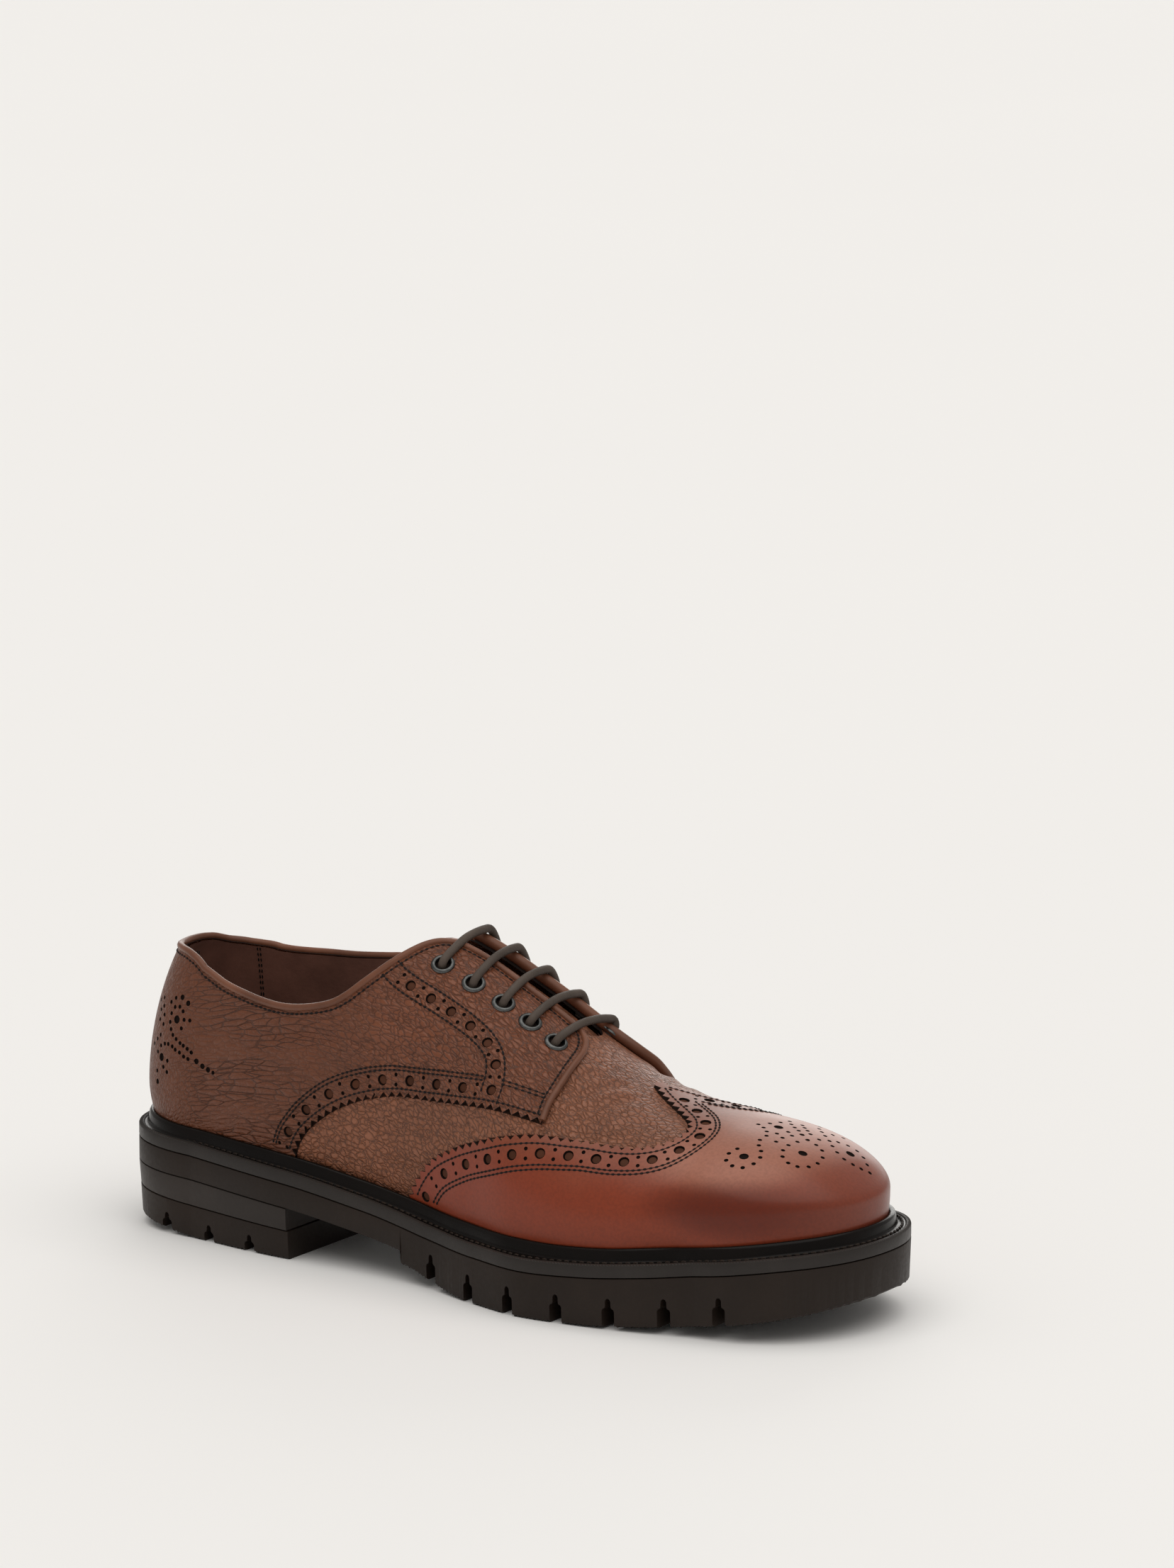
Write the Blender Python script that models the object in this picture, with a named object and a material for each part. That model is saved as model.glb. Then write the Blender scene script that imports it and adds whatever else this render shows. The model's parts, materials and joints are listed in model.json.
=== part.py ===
import math

import bmesh
import bpy
import numpy as np
from mathutils import Vector

MM = 0.001

# Driving sizes. The right shoe stands on the floor, toe towards +X, outer side towards -Y.
SHOE_LENGTH = 308 * MM
BALL_WIDTH = 110 * MM
INSTEP_HEIGHT = 126 * MM
HEEL_HEIGHT = 37.4 * MM
FOREPART_HEIGHT = 21.5 * MM
TOE_SPRING = 13.4 * MM
BREAST_AT = 82.5 * MM
FOREPART_AT = 133 * MM

# Sole layers and their gaps
FIT_GAP = 0.3 * MM
EDGE_STRIP = 4.8 * MM
SOLE_STRIP = 8.4 * MM
LIFT_SHARE = 0.44
LEDGE_RECESS = 1.2 * MM
LEDGE_RIM = 1.6 * MM
HEEL_UNDERCUT = 0.5 * MM
TREAD_DEPTH = 4.0 * MM
TREAD_BORDER = 15 * MM
LUG_WALL = 3 * MM
NOTCH_WIDTH = 4.6 * MM
NOTCH_HEIGHT = 7.0 * MM
SLOT_WIDTH = 2.2 * MM
SLOT_HEIGHT = 10.4 * MM
SLOT_DEPTH = 12 * MM
HEEL_NOTCH_HEIGHT = 3.8 * MM
HEEL_SLOT_HEIGHT = 6.3 * MM
FIRST_NOTCH_INSET = 15 * MM
NOTCH_PITCH = 20 * MM
NOTCH_COUNT = 7
FIRST_HEEL_NOTCH_AT = 25 * MM
HEEL_NOTCH_PITCH = 19.8 * MM
HEEL_NOTCH_COUNT = 3

# Storm welt
RIB_HEIGHT = 4.4 * MM
RIB_THICKNESS = 1.9 * MM
RIB_OUTSET = 1.5 * MM
LEDGE_THICKNESS = 0.9 * MM

# Leather of the upper, from the outside in
OVERLAY_WALL = 1.2 * MM
UPPER_WALL = 1.5 * MM
TONGUE_WALL = 2.4 * MM
INSOLE_THICKNESS = 3.5 * MM

# Eyelets and laces
EYELET_PAIRS = 5
EYELET_SIDES = 12
EYELET_OUTER = 8.6 * MM
EYELET_HOLE = 5.0 * MM
EYELET_PROUD = 0.9 * MM
EYELET_SPREAD_OUTER = 19.6 * MM
EYELET_SPREAD_INNER = 14.0 * MM
FIRST_EYELET_INSET = 5.1 * MM
EYELET_PITCH = 11.9 * MM
LACE_DIAMETER = 2.7 * MM
LACE_ARCH = 6.0 * MM

# The throat between the facings, and the tongue under it
THROAT_CENTRE = 6.2 * MM
THROAT_END_MARGIN = 10.6 * MM
THROAT_HALF_WIDTH = 6.2 * MM
TONGUE_LAP = 13 * MM
TONGUE_STAND = 5.6 * MM
TONGUE_EDGE_RISE = 0.64

# The fans at the heel and the toe: centre of each fan and roundness of its corner
HEEL_FAN_AT = 0.117 * SHOE_LENGTH
SOLE_TOE_FAN_AT = 0.838 * SHOE_LENGTH
UPPER_TOE_FAN_AT = 0.812 * SHOE_LENGTH
TOE_TIP_Y = 2.3 * MM
HEEL_MARGIN = 5.2 * MM
TOE_MARGIN = 8.4 * MM
INNER_FALL = 1.2
HEEL_ROUNDNESS = 0.78
TOE_ROUNDNESS = 0.955
UPPER_HEEL_ROUNDNESS = 0.88
UPPER_TOE_ROUNDNESS = 0.95
BULGE_SHARE = 0.18
FAN_STEPS = 7
ROWS_UP = (0, 0.09, 0.18, 0.28, 0.39, 0.50, 0.61, 0.72, 0.83, 0.93, 1)

# Stations are shares of SHOE_LENGTH, widths of BALL_WIDTH, and heights of the sizes named beside them.
SOLE_OUTLINE = {
    "columns": ("station", "outer", "inner"),
    "rows": (
        (0.117, 0.314, 0.314),
        (0.260, 0.362, 0.336),
        (0.373, 0.366, 0.309),
        (0.471, 0.407, 0.336),
        (0.552, 0.478, 0.395),
        (0.633, 0.527, 0.455),
        (0.698, 0.513, 0.477),
        (0.769, 0.482, 0.464),
        (0.838, 0.432, 0.420),
    ),
}

# heel_rise: share of HEEL_HEIGHT over FOREPART_HEIGHT. ledge_spring, floor_lift: shares of TOE_SPRING.
SOLE_PROFILE = {
    "columns": ("station", "heel_rise", "ledge_spring", "floor_lift"),
    "rows": (
        (0.000, 1.000, 0.00, 0.31),
        (0.042, 0.960, 0.00, 0.22),
        (0.078, 0.920, 0.00, 0.13),
        (0.130, 0.860, 0.00, 0.00),
        (0.260, 0.698, 0.00, 0.00),
        (0.373, 0.396, 0.00, 0.00),
        (0.432, 0.225, 0.00, 0.47),
        (0.481, 0.095, 0.00, 0.20),
        (0.520, 0.040, 0.00, 0.04),
        (0.552, 0.020, 0.00, 0.00),
        (0.633, 0.000, 0.00, 0.00),
        (0.698, 0.000, 0.06, 0.015),
        (0.779, 0.000, 0.24, 0.15),
        (0.860, 0.000, 0.48, 0.37),
        (0.942, 0.000, 0.73, 0.69),
        (1.000, 0.000, 0.84, 1.00),
    ),
}

# Feather line of the upper, its spine, and each section over it.
# outer, inner, spine, bulge: shares of BALL_WIDTH. bulge_height, ridge: shares of INSTEP_HEIGHT.
UPPER_SECTIONS = {
    "columns": ("station", "outer", "inner", "spine", "bulge", "bulge_height", "ridge", "roundness"),
    "rows": (
        (0.000, 0.259, 0.255, 0.000, 0.0290, 0.119, 0.968, 1.75),
        (0.117, 0.259, 0.255, 0.000, 0.0255, 0.123, 0.984, 1.95),
        (0.195, 0.282, 0.264, 0.009, 0.0227, 0.127, 1.000, 2.12),
        (0.276, 0.295, 0.255, 0.023, 0.0227, 0.127, 1.000, 2.25),
        (0.357, 0.295, 0.241, 0.041, 0.0227, 0.127, 0.960, 2.35),
        (0.438, 0.314, 0.250, 0.050, 0.0227, 0.119, 0.897, 2.35),
        (0.519, 0.368, 0.295, 0.047, 0.0227, 0.111, 0.798, 2.30),
        (0.601, 0.429, 0.359, 0.033, 0.0227, 0.095, 0.681, 2.15),
        (0.666, 0.438, 0.391, 0.024, 0.0200, 0.087, 0.603, 2.05),
        (0.731, 0.423, 0.400, 0.020, 0.0182, 0.087, 0.556, 2.05),
        (0.812, 0.373, 0.373, 0.019, 0.0136, 0.095, 0.525, 2.20),
        (0.893, 0.373, 0.373, 0.019, 0.0110, 0.099, 0.497, 2.36),
        (0.935, 0.373, 0.373, 0.019, 0.0100, 0.101, 0.471, 2.42),
        (0.974, 0.373, 0.373, 0.019, 0.0091, 0.103, 0.413, 2.45),
    ),
}

# Pattern lines lie on the upper. level is the height on a middle plane from which a ray, falling
# outwards at 45 degrees (INNER_FALL on the inner side), meets the upper: a share of INSTEP_HEIGHT.
COLLAR_OUTER = {
    "columns": ("station", "level"),
    "rows": (
        (-0.060, 0.830),
        (0.034, 0.812),
        (0.049, 0.715),
        (0.078, 0.662),
        (0.104, 0.613),
        (0.128, 0.560),
        (0.172, 0.509),
        (0.214, 0.480),
        (0.254, 0.471),
        (0.291, 0.486),
        (0.326, 0.542),
        (0.356, 0.645),
        (0.377, 0.740),
        (0.396, 0.830),
        (0.412, 0.900),
    ),
}

COLLAR_INNER = {
    "columns": ("station", "level"),
    "rows": (
        (-0.060, 0.830),
        (0.034, 0.812),
        (0.051, 0.632),
        (0.077, 0.571),
        (0.109, 0.534),
        (0.146, 0.519),
        (0.182, 0.515),
        (0.245, 0.530),
        (0.292, 0.553),
        (0.325, 0.598),
        (0.357, 0.675),
        (0.383, 0.742),
        (0.412, 0.795),
    ),
}

# The swing of the quarter from the facing's lower corner back down to the welt
SWING_LINE = {
    "columns": ("station", "level"),
    "rows": (
        (0.615, 0.223),
        (0.585, 0.225),
        (0.533, 0.235),
        (0.492, 0.248),
        (0.451, 0.256),
        (0.406, 0.254),
        (0.365, 0.230),
        (0.330, 0.192),
        (0.303, 0.147),
        (0.278, 0.098),
        (0.266, 0.038),
        (0.262, -0.062),
    ),
}

FACING_FRONT = {
    "columns": ("station", "level"),
    "rows": (
        (0.608, 0.273),
        (0.615, 0.348),
        (0.617, 0.487),
        (0.607, 0.624),
        (0.592, 0.707),
    ),
}

WING_LINE = {
    "columns": ("station", "level"),
    "rows": (
        (0.436, -0.150),
        (0.444, -0.060),
        (0.471, 0.018),
        (0.506, 0.059),
        (0.547, 0.087),
        (0.583, 0.101),
        (0.626, 0.140),
        (0.668, 0.159),
        (0.714, 0.174),
        (0.742, 0.188),
        (0.769, 0.258),
        (0.777, 0.336),
        (0.770, 0.388),
        (0.755, 0.440),
        (0.738, 0.480),
        (0.716, 0.512),
        (0.692, 0.545),
    ),
}


def column(table, name):
    place = table["columns"].index(name)
    return np.array([row[place] for row in table["rows"]], float)


def smooth(stations, values, at):
    """Monotone cubic through the rows, so that no section bulges between its neighbours."""
    step = np.diff(stations)
    rise = np.diff(values) / step
    slope = np.zeros(len(stations))
    slope[0], slope[-1] = rise[0], rise[-1]
    for i in range(1, len(stations) - 1):
        if rise[i - 1] * rise[i] > 0:
            before, after = 2 * step[i] + step[i - 1], step[i] + 2 * step[i - 1]
            slope[i] = (before + after) / (before / rise[i - 1] + after / rise[i])
    at = np.clip(at, stations[0], stations[-1])
    i = int(np.clip(np.searchsorted(stations, at) - 1, 0, len(stations) - 2))
    t = (at - stations[i]) / step[i]
    start = (1 + 2 * t) * (1 - t) ** 2 * values[i] + t * (1 - t) ** 2 * step[i] * slope[i]
    return float(start + t * t * (3 - 2 * t) * values[i + 1] + t * t * (t - 1) * step[i] * slope[i + 1])


def read(table, name, x):
    return smooth(column(table, "station"), column(table, name), x / SHOE_LENGTH)


def ledge_height(x):
    rise = read(SOLE_PROFILE, "heel_rise", x) * (HEEL_HEIGHT - FOREPART_HEIGHT)
    return FOREPART_HEIGHT + rise + read(SOLE_PROFILE, "ledge_spring", x) * TOE_SPRING


def floor_height(x):
    return read(SOLE_PROFILE, "floor_lift", x) * TOE_SPRING


def fan_outline(side, q, half_width, heel_at, toe_at, back, tip, roundness):
    """A point of an outline: q 0 to 1 rounds the heel, 1 to 2 runs forward, 2 to 3 rounds the toe."""
    if q <= 1:
        turn = q * math.pi / 2
        x = heel_at - (heel_at - back) * math.cos(turn) ** roundness[0]
        return x, side * half_width(heel_at) * math.sin(turn) ** roundness[0]
    if q <= 2:
        x = heel_at + (toe_at - heel_at) * (q - 1)
        return x, side * half_width(x)
    turn = (q - 2) * math.pi / 2
    x = toe_at + (tip - toe_at) * math.sin(turn) ** roundness[1]
    reach = max(math.cos(turn), 0) ** roundness[1]
    return x, TOE_TIP_Y + (side * half_width(toe_at) - TOE_TIP_Y) * reach


def sole_edge(side, q, inset=0.0):
    name = "outer" if side < 0 else "inner"
    return fan_outline(
        side,
        q,
        lambda x: read(SOLE_OUTLINE, name, x) * BALL_WIDTH - inset,
        HEEL_FAN_AT,
        SOLE_TOE_FAN_AT,
        inset,
        SHOE_LENGTH - inset,
        (HEEL_ROUNDNESS, TOE_ROUNDNESS),
    )


def feather_line(side, q, inset=0.0):
    name = "outer" if side < 0 else "inner"
    return fan_outline(
        side,
        q,
        lambda x: read(UPPER_SECTIONS, name, x) * BALL_WIDTH - inset,
        HEEL_FAN_AT,
        UPPER_TOE_FAN_AT,
        HEEL_MARGIN + inset,
        SHOE_LENGTH - TOE_MARGIN - inset,
        (UPPER_HEEL_ROUNDNESS, UPPER_TOE_ROUNDNESS),
    )


def spine_point(q):
    x = HEEL_FAN_AT + (UPPER_TOE_FAN_AT - HEEL_FAN_AT) * min(max(q - 1, 0), 1)
    return x, read(UPPER_SECTIONS, "spine", x) * BALL_WIDTH


def upper_point(side, q, rise, inset=0.0):
    """The upper's surface: rise 0 is the feather, BULGE_SHARE the widest place, 1 the ridge."""
    foot_x, foot_y = feather_line(side, q, inset)
    key_x = feather_line(side, q)[0]
    centre_x, centre_y = spine_point(q)
    reach = math.hypot(foot_x - centre_x, foot_y - centre_y)
    swell = 1 + read(UPPER_SECTIONS, "bulge", key_x) * BALL_WIDTH / reach
    wide_x = centre_x + (foot_x - centre_x) * swell
    wide_y = centre_y + (foot_y - centre_y) * swell
    foot_z = ledge_height(key_x)
    wide_z = foot_z + read(UPPER_SECTIONS, "bulge_height", key_x) * INSTEP_HEIGHT
    if rise < BULGE_SHARE:
        k = rise / BULGE_SHARE
        pull = (1 - k) ** 2
        x, y = wide_x + (foot_x - wide_x) * pull, wide_y + (foot_y - wide_y) * pull
        return Vector((x, y, foot_z + (wide_z - foot_z) * k))
    turn = (rise - BULGE_SHARE) / (1 - BULGE_SHARE) * math.pi / 2
    power = 2 / read(UPPER_SECTIONS, "roundness", key_x)
    width = max(math.cos(turn), 0) ** power if rise < 1 else 0.0
    x = centre_x + (wide_x - centre_x) * width
    ridge_z = read(UPPER_SECTIONS, "ridge", x) * INSTEP_HEIGHT - inset
    y = centre_y + (wide_y - centre_y) * width
    return Vector((x, y, wide_z + (ridge_z - wide_z) * math.sin(turn) ** power))


def height_on_upper(x, y, inset=0.0):
    """Height of the upper over a place on the forepart or the instep, for eyelets, laces and tongue."""
    q = 1 + (x - HEEL_FAN_AT) / (UPPER_TOE_FAN_AT - HEEL_FAN_AT)
    side = 1 if y > spine_point(q)[1] else -1
    low, high = BULGE_SHARE, 1.0
    for _ in range(30):
        middle = (low + high) / 2
        if side * (upper_point(side, q, middle, inset).y - y) > 0:
            low = middle
        else:
            high = middle
    return upper_point(side, q, low, inset).z


def fan_steps(table, toe_at):
    """The q of each section: the heel fan, the table's stations with one between each two, the toe fan."""
    rows = [s * SHOE_LENGTH for s in column(table, "station")]
    inside = [x for x in rows if HEEL_FAN_AT + MM < x < toe_at - MM]
    places = [HEEL_FAN_AT] + inside + [toe_at]
    between = [(a + b) / 2 for a, b in zip(places, places[1:])]
    body = [1 + (x - HEEL_FAN_AT) / (toe_at - HEEL_FAN_AT) for x in sorted(places + between)]
    heel = [i / FAN_STEPS for i in range(FAN_STEPS)]
    toe = [2 + (i + 1) / FAN_STEPS for i in range(FAN_STEPS)]
    return heel + body + toe


SOLE_STEPS = fan_steps(SOLE_OUTLINE, SOLE_TOE_FAN_AT)
UPPER_STEPS = fan_steps(UPPER_SECTIONS, UPPER_TOE_FAN_AT)

# The model is centred over its footprint.
EDGE_POINTS = [sole_edge(side, q) for side in (-1, 1) for q in SOLE_STEPS]
CENTRE = Vector((
    (min(x for x, y in EDGE_POINTS) + max(x for x, y in EDGE_POINTS)) / 2,
    (min(y for x, y in EDGE_POINTS) + max(y for x, y in EDGE_POINTS)) / 2,
    0,
))


def clear_scene():
    for old in list(bpy.data.objects):
        bpy.data.objects.remove(old, do_unlink=True)


def material(name, colour, roughness, metallic=0.0):
    made = bpy.data.materials.new(name)
    made.use_nodes = True
    shader = made.node_tree.nodes["Principled BSDF"]
    shader.inputs["Base Color"].default_value = (*colour, 1)
    shader.inputs["Roughness"].default_value = roughness
    shader.inputs["Metallic"].default_value = metallic
    return made


def finish(name, bm, finish_material, sharp=35):
    """Closes the mesh of one sub-part and puts it in the scene, centred over the footprint."""
    bmesh.ops.remove_doubles(bm, verts=bm.verts, dist=0.002 * MM)
    bmesh.ops.recalc_face_normals(bm, faces=bm.faces)
    bmesh.ops.translate(bm, verts=bm.verts, vec=-CENTRE)
    mesh = bpy.data.meshes.new(name)
    bm.to_mesh(mesh)
    bm.free()
    mesh.shade_smooth()
    mesh.set_sharp_from_angle(angle=math.radians(sharp))
    made = bpy.data.objects.new(name, mesh)
    bpy.context.scene.collection.objects.link(made)
    if finish_material:
        mesh.materials.append(finish_material)
    return made


def loft(rings, closed=False, caps=()):
    """Skins rings of equal count. closed joins the last ring to the first; caps fills ring 0 or -1.
    The second half of a ring is split the other way, so that the two faces of a wall stay parallel."""
    bm = bmesh.new()
    rows = [[bm.verts.new(point) for point in ring] for ring in rings]
    pairs = list(zip(rows, rows[1:])) + ([(rows[-1], rows[0])] if closed else [])
    for before, after in pairs:
        for i in range(len(before)):
            j = (i + 1) % len(before)
            if i < len(before) / 2:
                corners = ((before[i], before[j], after[j]), (before[i], after[j], after[i]))
            else:
                corners = ((before[i], before[j], after[i]), (before[j], after[j], after[i]))
            for corner in corners:
                bm.faces.new(corner)
    for end in caps:
        bm.faces.new(rows[end])
    return bm


def cutter(name, bm):
    made = finish(name, bm, None)
    made.hide_render = True
    made.display_type = "WIRE"
    return made


def combine(target, other, operation):
    modifier = target.modifiers.new(other.name, "BOOLEAN")
    modifier.operation = operation
    modifier.solver = "EXACT"
    modifier.object = other


def slab_rings(steps, outline, profile):
    """Rings across the shoe. profile lists (inset, height function) from the floor up, outside first."""
    rings = []
    for q in steps:
        half = {}
        for side in (-1, 1):
            half[side] = []
            for inset, height in profile:
                x, y = outline(side, q, inset)
                half[side].append(Vector((x, y, height(x))))
        rings.append(half[-1] + half[1][::-1])
    return rings


def heel_steps():
    """The part of the sole's outline behind the breast."""
    last = 1 + (BREAST_AT - HEEL_FAN_AT) / (SOLE_TOE_FAN_AT - HEEL_FAN_AT)
    return [q for q in SOLE_STEPS if q < last - 0.01] + [last]


def strip_bottom(x):
    return ledge_height(x) - EDGE_STRIP


def heel_layer(x, share):
    """Height inside the heel block, from the floor up to the underside of the outsole's strip."""
    under = floor_height(x)
    return under + share * (strip_bottom(x) - FIT_GAP - SOLE_STRIP - under)


def make_edge_strip():
    profile = (
        (0, strip_bottom),
        (0, ledge_height),
        (LEDGE_RIM, ledge_height),
        (LEDGE_RIM, lambda x: ledge_height(x) - LEDGE_RECESS),
    )
    bm = loft(slab_rings(SOLE_STEPS, sole_edge, profile))
    finish("midsole", bm, material("edge grey", (0.045, 0.045, 0.047), 0.45))


def make_outsole():
    top = lambda x: strip_bottom(x) - FIT_GAP
    strip = lambda x: top(x) - SOLE_STRIP
    rise = 1 + (FOREPART_AT - HEEL_FAN_AT) / (SOLE_TOE_FAN_AT - HEEL_FAN_AT)
    behind = [q for q in SOLE_STEPS if q < rise - 0.01] + [rise]
    ahead = [rise] + [q for q in SOLE_STEPS if q > rise + 0.01]
    rings = slab_rings(behind, sole_edge, ((0, strip), (0, top)))
    rings += slab_rings(ahead, sole_edge, ((HEEL_UNDERCUT, floor_height), (0, top)))
    outsole = finish("outsole", loft(rings), material("sole brown", (0.030, 0.020, 0.017), 0.6))
    for cut in tread_cutters() + notch_cutters():
        combine(outsole, cut, "DIFFERENCE")


def notch_place(i):
    return FOREPART_AT + FIRST_NOTCH_INSET + i * NOTCH_PITCH


def tread_cutters():
    """Pockets of the forepart tread, between its cross lugs and inside its border."""
    made = []
    floor = lambda x: floor_height(x) + TREAD_DEPTH
    below = lambda x: floor_height(x) - TREAD_DEPTH
    for i in range(NOTCH_COUNT - 1):
        first = notch_place(i) + NOTCH_WIDTH / 2 + LUG_WALL
        last = notch_place(i + 1) - NOTCH_WIDTH / 2 - LUG_WALL
        steps = [1 + (x - HEEL_FAN_AT) / (SOLE_TOE_FAN_AT - HEEL_FAN_AT) for x in (first, last)]
        if steps[-1] > 2:
            continue
        rings = slab_rings(steps, sole_edge, ((TREAD_BORDER, below), (TREAD_BORDER, floor)))
        made.append(cutter(f"tread_pocket_{i + 1}", loft(rings, caps=(0, -1))))
    return made


def keyhole(x, groove_height, slot_height, depth, floor):
    """A groove across the sole with a narrow slot over each of its ends, as one prism a side."""
    half, slim = NOTCH_WIDTH / 2, SLOT_WIDTH / 2
    shape = (
        (-half, -TREAD_DEPTH),
        (-half, groove_height - half + slim),
        (-slim, groove_height),
        (-slim, slot_height),
        (slim, slot_height),
        (slim, groove_height),
        (half, groove_height - half + slim),
        (half, -TREAD_DEPTH),
    )
    made = []
    for side in (-1, 1):
        name = "outer" if side < 0 else "inner"
        edge = read(SOLE_OUTLINE, name, x) * BALL_WIDTH
        rings = []
        for y in (side * (edge - depth), side * (edge + SLOT_DEPTH)):
            rings.append([Vector((x + along, y, floor + up)) for along, up in shape])
        made.append(cutter(f"notch_{round(x / MM)}_{name}", loft(rings, caps=(0, -1))))
    return made


def notch_cutters():
    made = []
    for i in range(NOTCH_COUNT):
        x = notch_place(i)
        made += keyhole(x, NOTCH_HEIGHT, SLOT_HEIGHT, SLOT_DEPTH, floor_height(x))
    return made


def make_heel():
    lift_base = lambda x: heel_layer(x, 1 - LIFT_SHARE)
    piece_top = lambda x: lift_base(x) - FIT_GAP
    lift_top = lambda x: heel_layer(x, 1) - FIT_GAP
    steps = heel_steps()
    lift = loft(slab_rings(steps, sole_edge, ((HEEL_UNDERCUT, lift_base), (0, lift_top))), caps=(-1,))
    finish("heel_lift", lift, material("lift grey", (0.060, 0.055, 0.055), 0.5))
    profile = ((2 * HEEL_UNDERCUT, floor_height), (HEEL_UNDERCUT, piece_top))
    piece = loft(slab_rings(steps, sole_edge, profile), caps=(-1,))
    top_piece = finish("heel_top_piece", piece, material("heel brown", (0.028, 0.020, 0.018), 0.6))
    for i in range(HEEL_NOTCH_COUNT):
        x = FIRST_HEEL_NOTCH_AT + i * HEEL_NOTCH_PITCH
        for cut in keyhole(x, HEEL_NOTCH_HEIGHT, HEEL_SLOT_HEIGHT, SLOT_DEPTH, floor_height(x)):
            combine(top_piece, cut, "DIFFERENCE")


def make_welt():
    """The storm welt: a thin ledge inside the rim of the edge strip, and a rib round the feather."""
    lap = UPPER_STEPS[:-1]
    around = [(-1, q) for q in lap] + [(1, q) for q in UPPER_STEPS[:0:-1]]
    base = lambda x: ledge_height(x) - LEDGE_RECESS + FIT_GAP
    ledge_edge = LEDGE_RIM + 2 * FIT_GAP
    rings = []
    for side, q in around:
        sole_q = matching_step(side, q)
        outer_x, outer_y = sole_edge(side, sole_q, ledge_edge)
        rib_x, rib_y = feather_line(side, q, -RIB_OUTSET - RIB_THICKNESS)
        in_x, in_y = feather_line(side, q, -RIB_OUTSET)
        low, ledge_top = base, lambda x: base(x) + LEDGE_THICKNESS
        rib_top = lambda x: ledge_height(x) + RIB_HEIGHT
        rings.append([
            Vector((outer_x, outer_y, low(outer_x))),
            Vector((outer_x, outer_y, ledge_top(outer_x))),
            Vector((rib_x, rib_y, ledge_top(rib_x))),
            Vector((rib_x, rib_y, rib_top(rib_x))),
            Vector((in_x, in_y, rib_top(in_x))),
            Vector((in_x, in_y, low(in_x))),
        ])
    finish("welt", loft(rings, closed=True), material("welt black", (0.010, 0.009, 0.009), 0.25))


def matching_step(side, q):
    """The step of the sole's outline that lies beside a step of the feather line."""
    if q <= 1 or q >= 2:
        return q
    x = HEEL_FAN_AT + (UPPER_TOE_FAN_AT - HEEL_FAN_AT) * (q - 1)
    return 1 + (x - HEEL_FAN_AT) / (SOLE_TOE_FAN_AT - HEEL_FAN_AT)


def shell(outer_inset, wall):
    """The whole last between two insets of the upper's own surface, open underneath."""
    rings = []
    for q in UPPER_STEPS:
        outer = [[upper_point(s, q, r, outer_inset) for r in ROWS_UP] for s in (-1, 1)]
        inner = [[upper_point(s, q, r, outer_inset + wall) for r in ROWS_UP] for s in (-1, 1)]
        rings.append(outer[0] + outer[1][::-1] + inner[1] + inner[0][::-1])
    for ring in rings:
        for point in ring:
            point.z += FIT_GAP
    return loft(rings)


def pattern_prism(side, points, plane, overlap):
    """A prism that leaves a lengthwise plane, upwards and outwards, on one side of the shoe."""
    reach = 1.2 * BALL_WIDTH
    fall = 1 if side < 0 else INNER_FALL
    start = plane - side * overlap
    near = [Vector((x, start, level)) for x, level in points]
    far = [Vector((x, start + side * reach, level + fall * reach)) for x, level in points]
    return loft([near, far], caps=(0, -1))


def line_of(table):
    return [(s * SHOE_LENGTH, v * INSTEP_HEIGHT) for s, v in table["rows"]]


def throat_line(side):
    """Points of the facing's front edge, from the collar down to the end of the throat."""
    edge = THROAT_CENTRE + side * THROAT_HALF_WIDTH
    fall = 1 if side < 0 else INNER_FALL
    collar = line_of(COLLAR_OUTER if side < 0 else COLLAR_INNER)
    front = FACING_FRONT["rows"][-1][0] * SHOE_LENGTH - THROAT_END_MARGIN
    places = np.linspace(collar[-1][0], front, 6)
    return [(x, height_on_upper(x, edge) - fall * side * edge) for x in places]


def opening_points(side):
    collar = line_of(COLLAR_OUTER if side < 0 else COLLAR_INNER)
    throat = throat_line(side)
    sky = 2 * INSTEP_HEIGHT
    return collar + throat + [(throat[-1][0], sky), (collar[0][0], sky)]


def quarter_points(side):
    """The quarter's pattern: collar, throat, facing front, swing, and back under the heel."""
    collar = line_of(COLLAR_OUTER if side < 0 else COLLAR_INNER)
    front = line_of(FACING_FRONT)[::-1]
    swing = line_of(SWING_LINE)
    below = -INSTEP_HEIGHT
    back = collar[0][0]
    return collar + throat_line(side) + front + swing + [(swing[-1][0], below), (back, below)]


def make_upper():
    leather = material("leather", (0.105, 0.045, 0.030), 0.55)
    upper = finish("upper", shell(OVERLAY_WALL + FIT_GAP, UPPER_WALL), leather)
    for side, name in ((-1, "outer"), (1, "inner")):
        cut = cutter(f"opening_{name}", pattern_prism(side, opening_points(side), 0, FIT_GAP))
        combine(upper, cut, "DIFFERENCE")


def make_quarters():
    leather = material("quarter leather", (0.105, 0.045, 0.030), 0.55)
    for side, name in ((-1, "outer"), (1, "inner")):
        quarter = finish(f"quarter_{name}", shell(0, OVERLAY_WALL), leather)
        prism = pattern_prism(side, quarter_points(side), 0, -FIT_GAP / 2)
        form = cutter(f"quarter_form_{name}", prism)
        combine(quarter, form, "INTERSECT")


def make_wing_cap():
    cap = finish("wing_cap", shell(0, OVERLAY_WALL), material("cap leather", (0.16, 0.045, 0.025), 0.3))
    line = line_of(WING_LINE)
    far, sky, below = 1.2 * SHOE_LENGTH, 2 * INSTEP_HEIGHT, -INSTEP_HEIGHT
    peak = [(line[-1][0], sky)]
    points = [(line[0][0], below)] + line + peak + [(far, sky), (far, below)]
    form = cutter("wing_form_outer", pattern_prism(-1, points, TOE_TIP_Y, FIT_GAP))
    combine(form, cutter("wing_form_inner", pattern_prism(1, points, TOE_TIP_Y, FIT_GAP)), "UNION")
    combine(cap, form, "INTERSECT")


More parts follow.
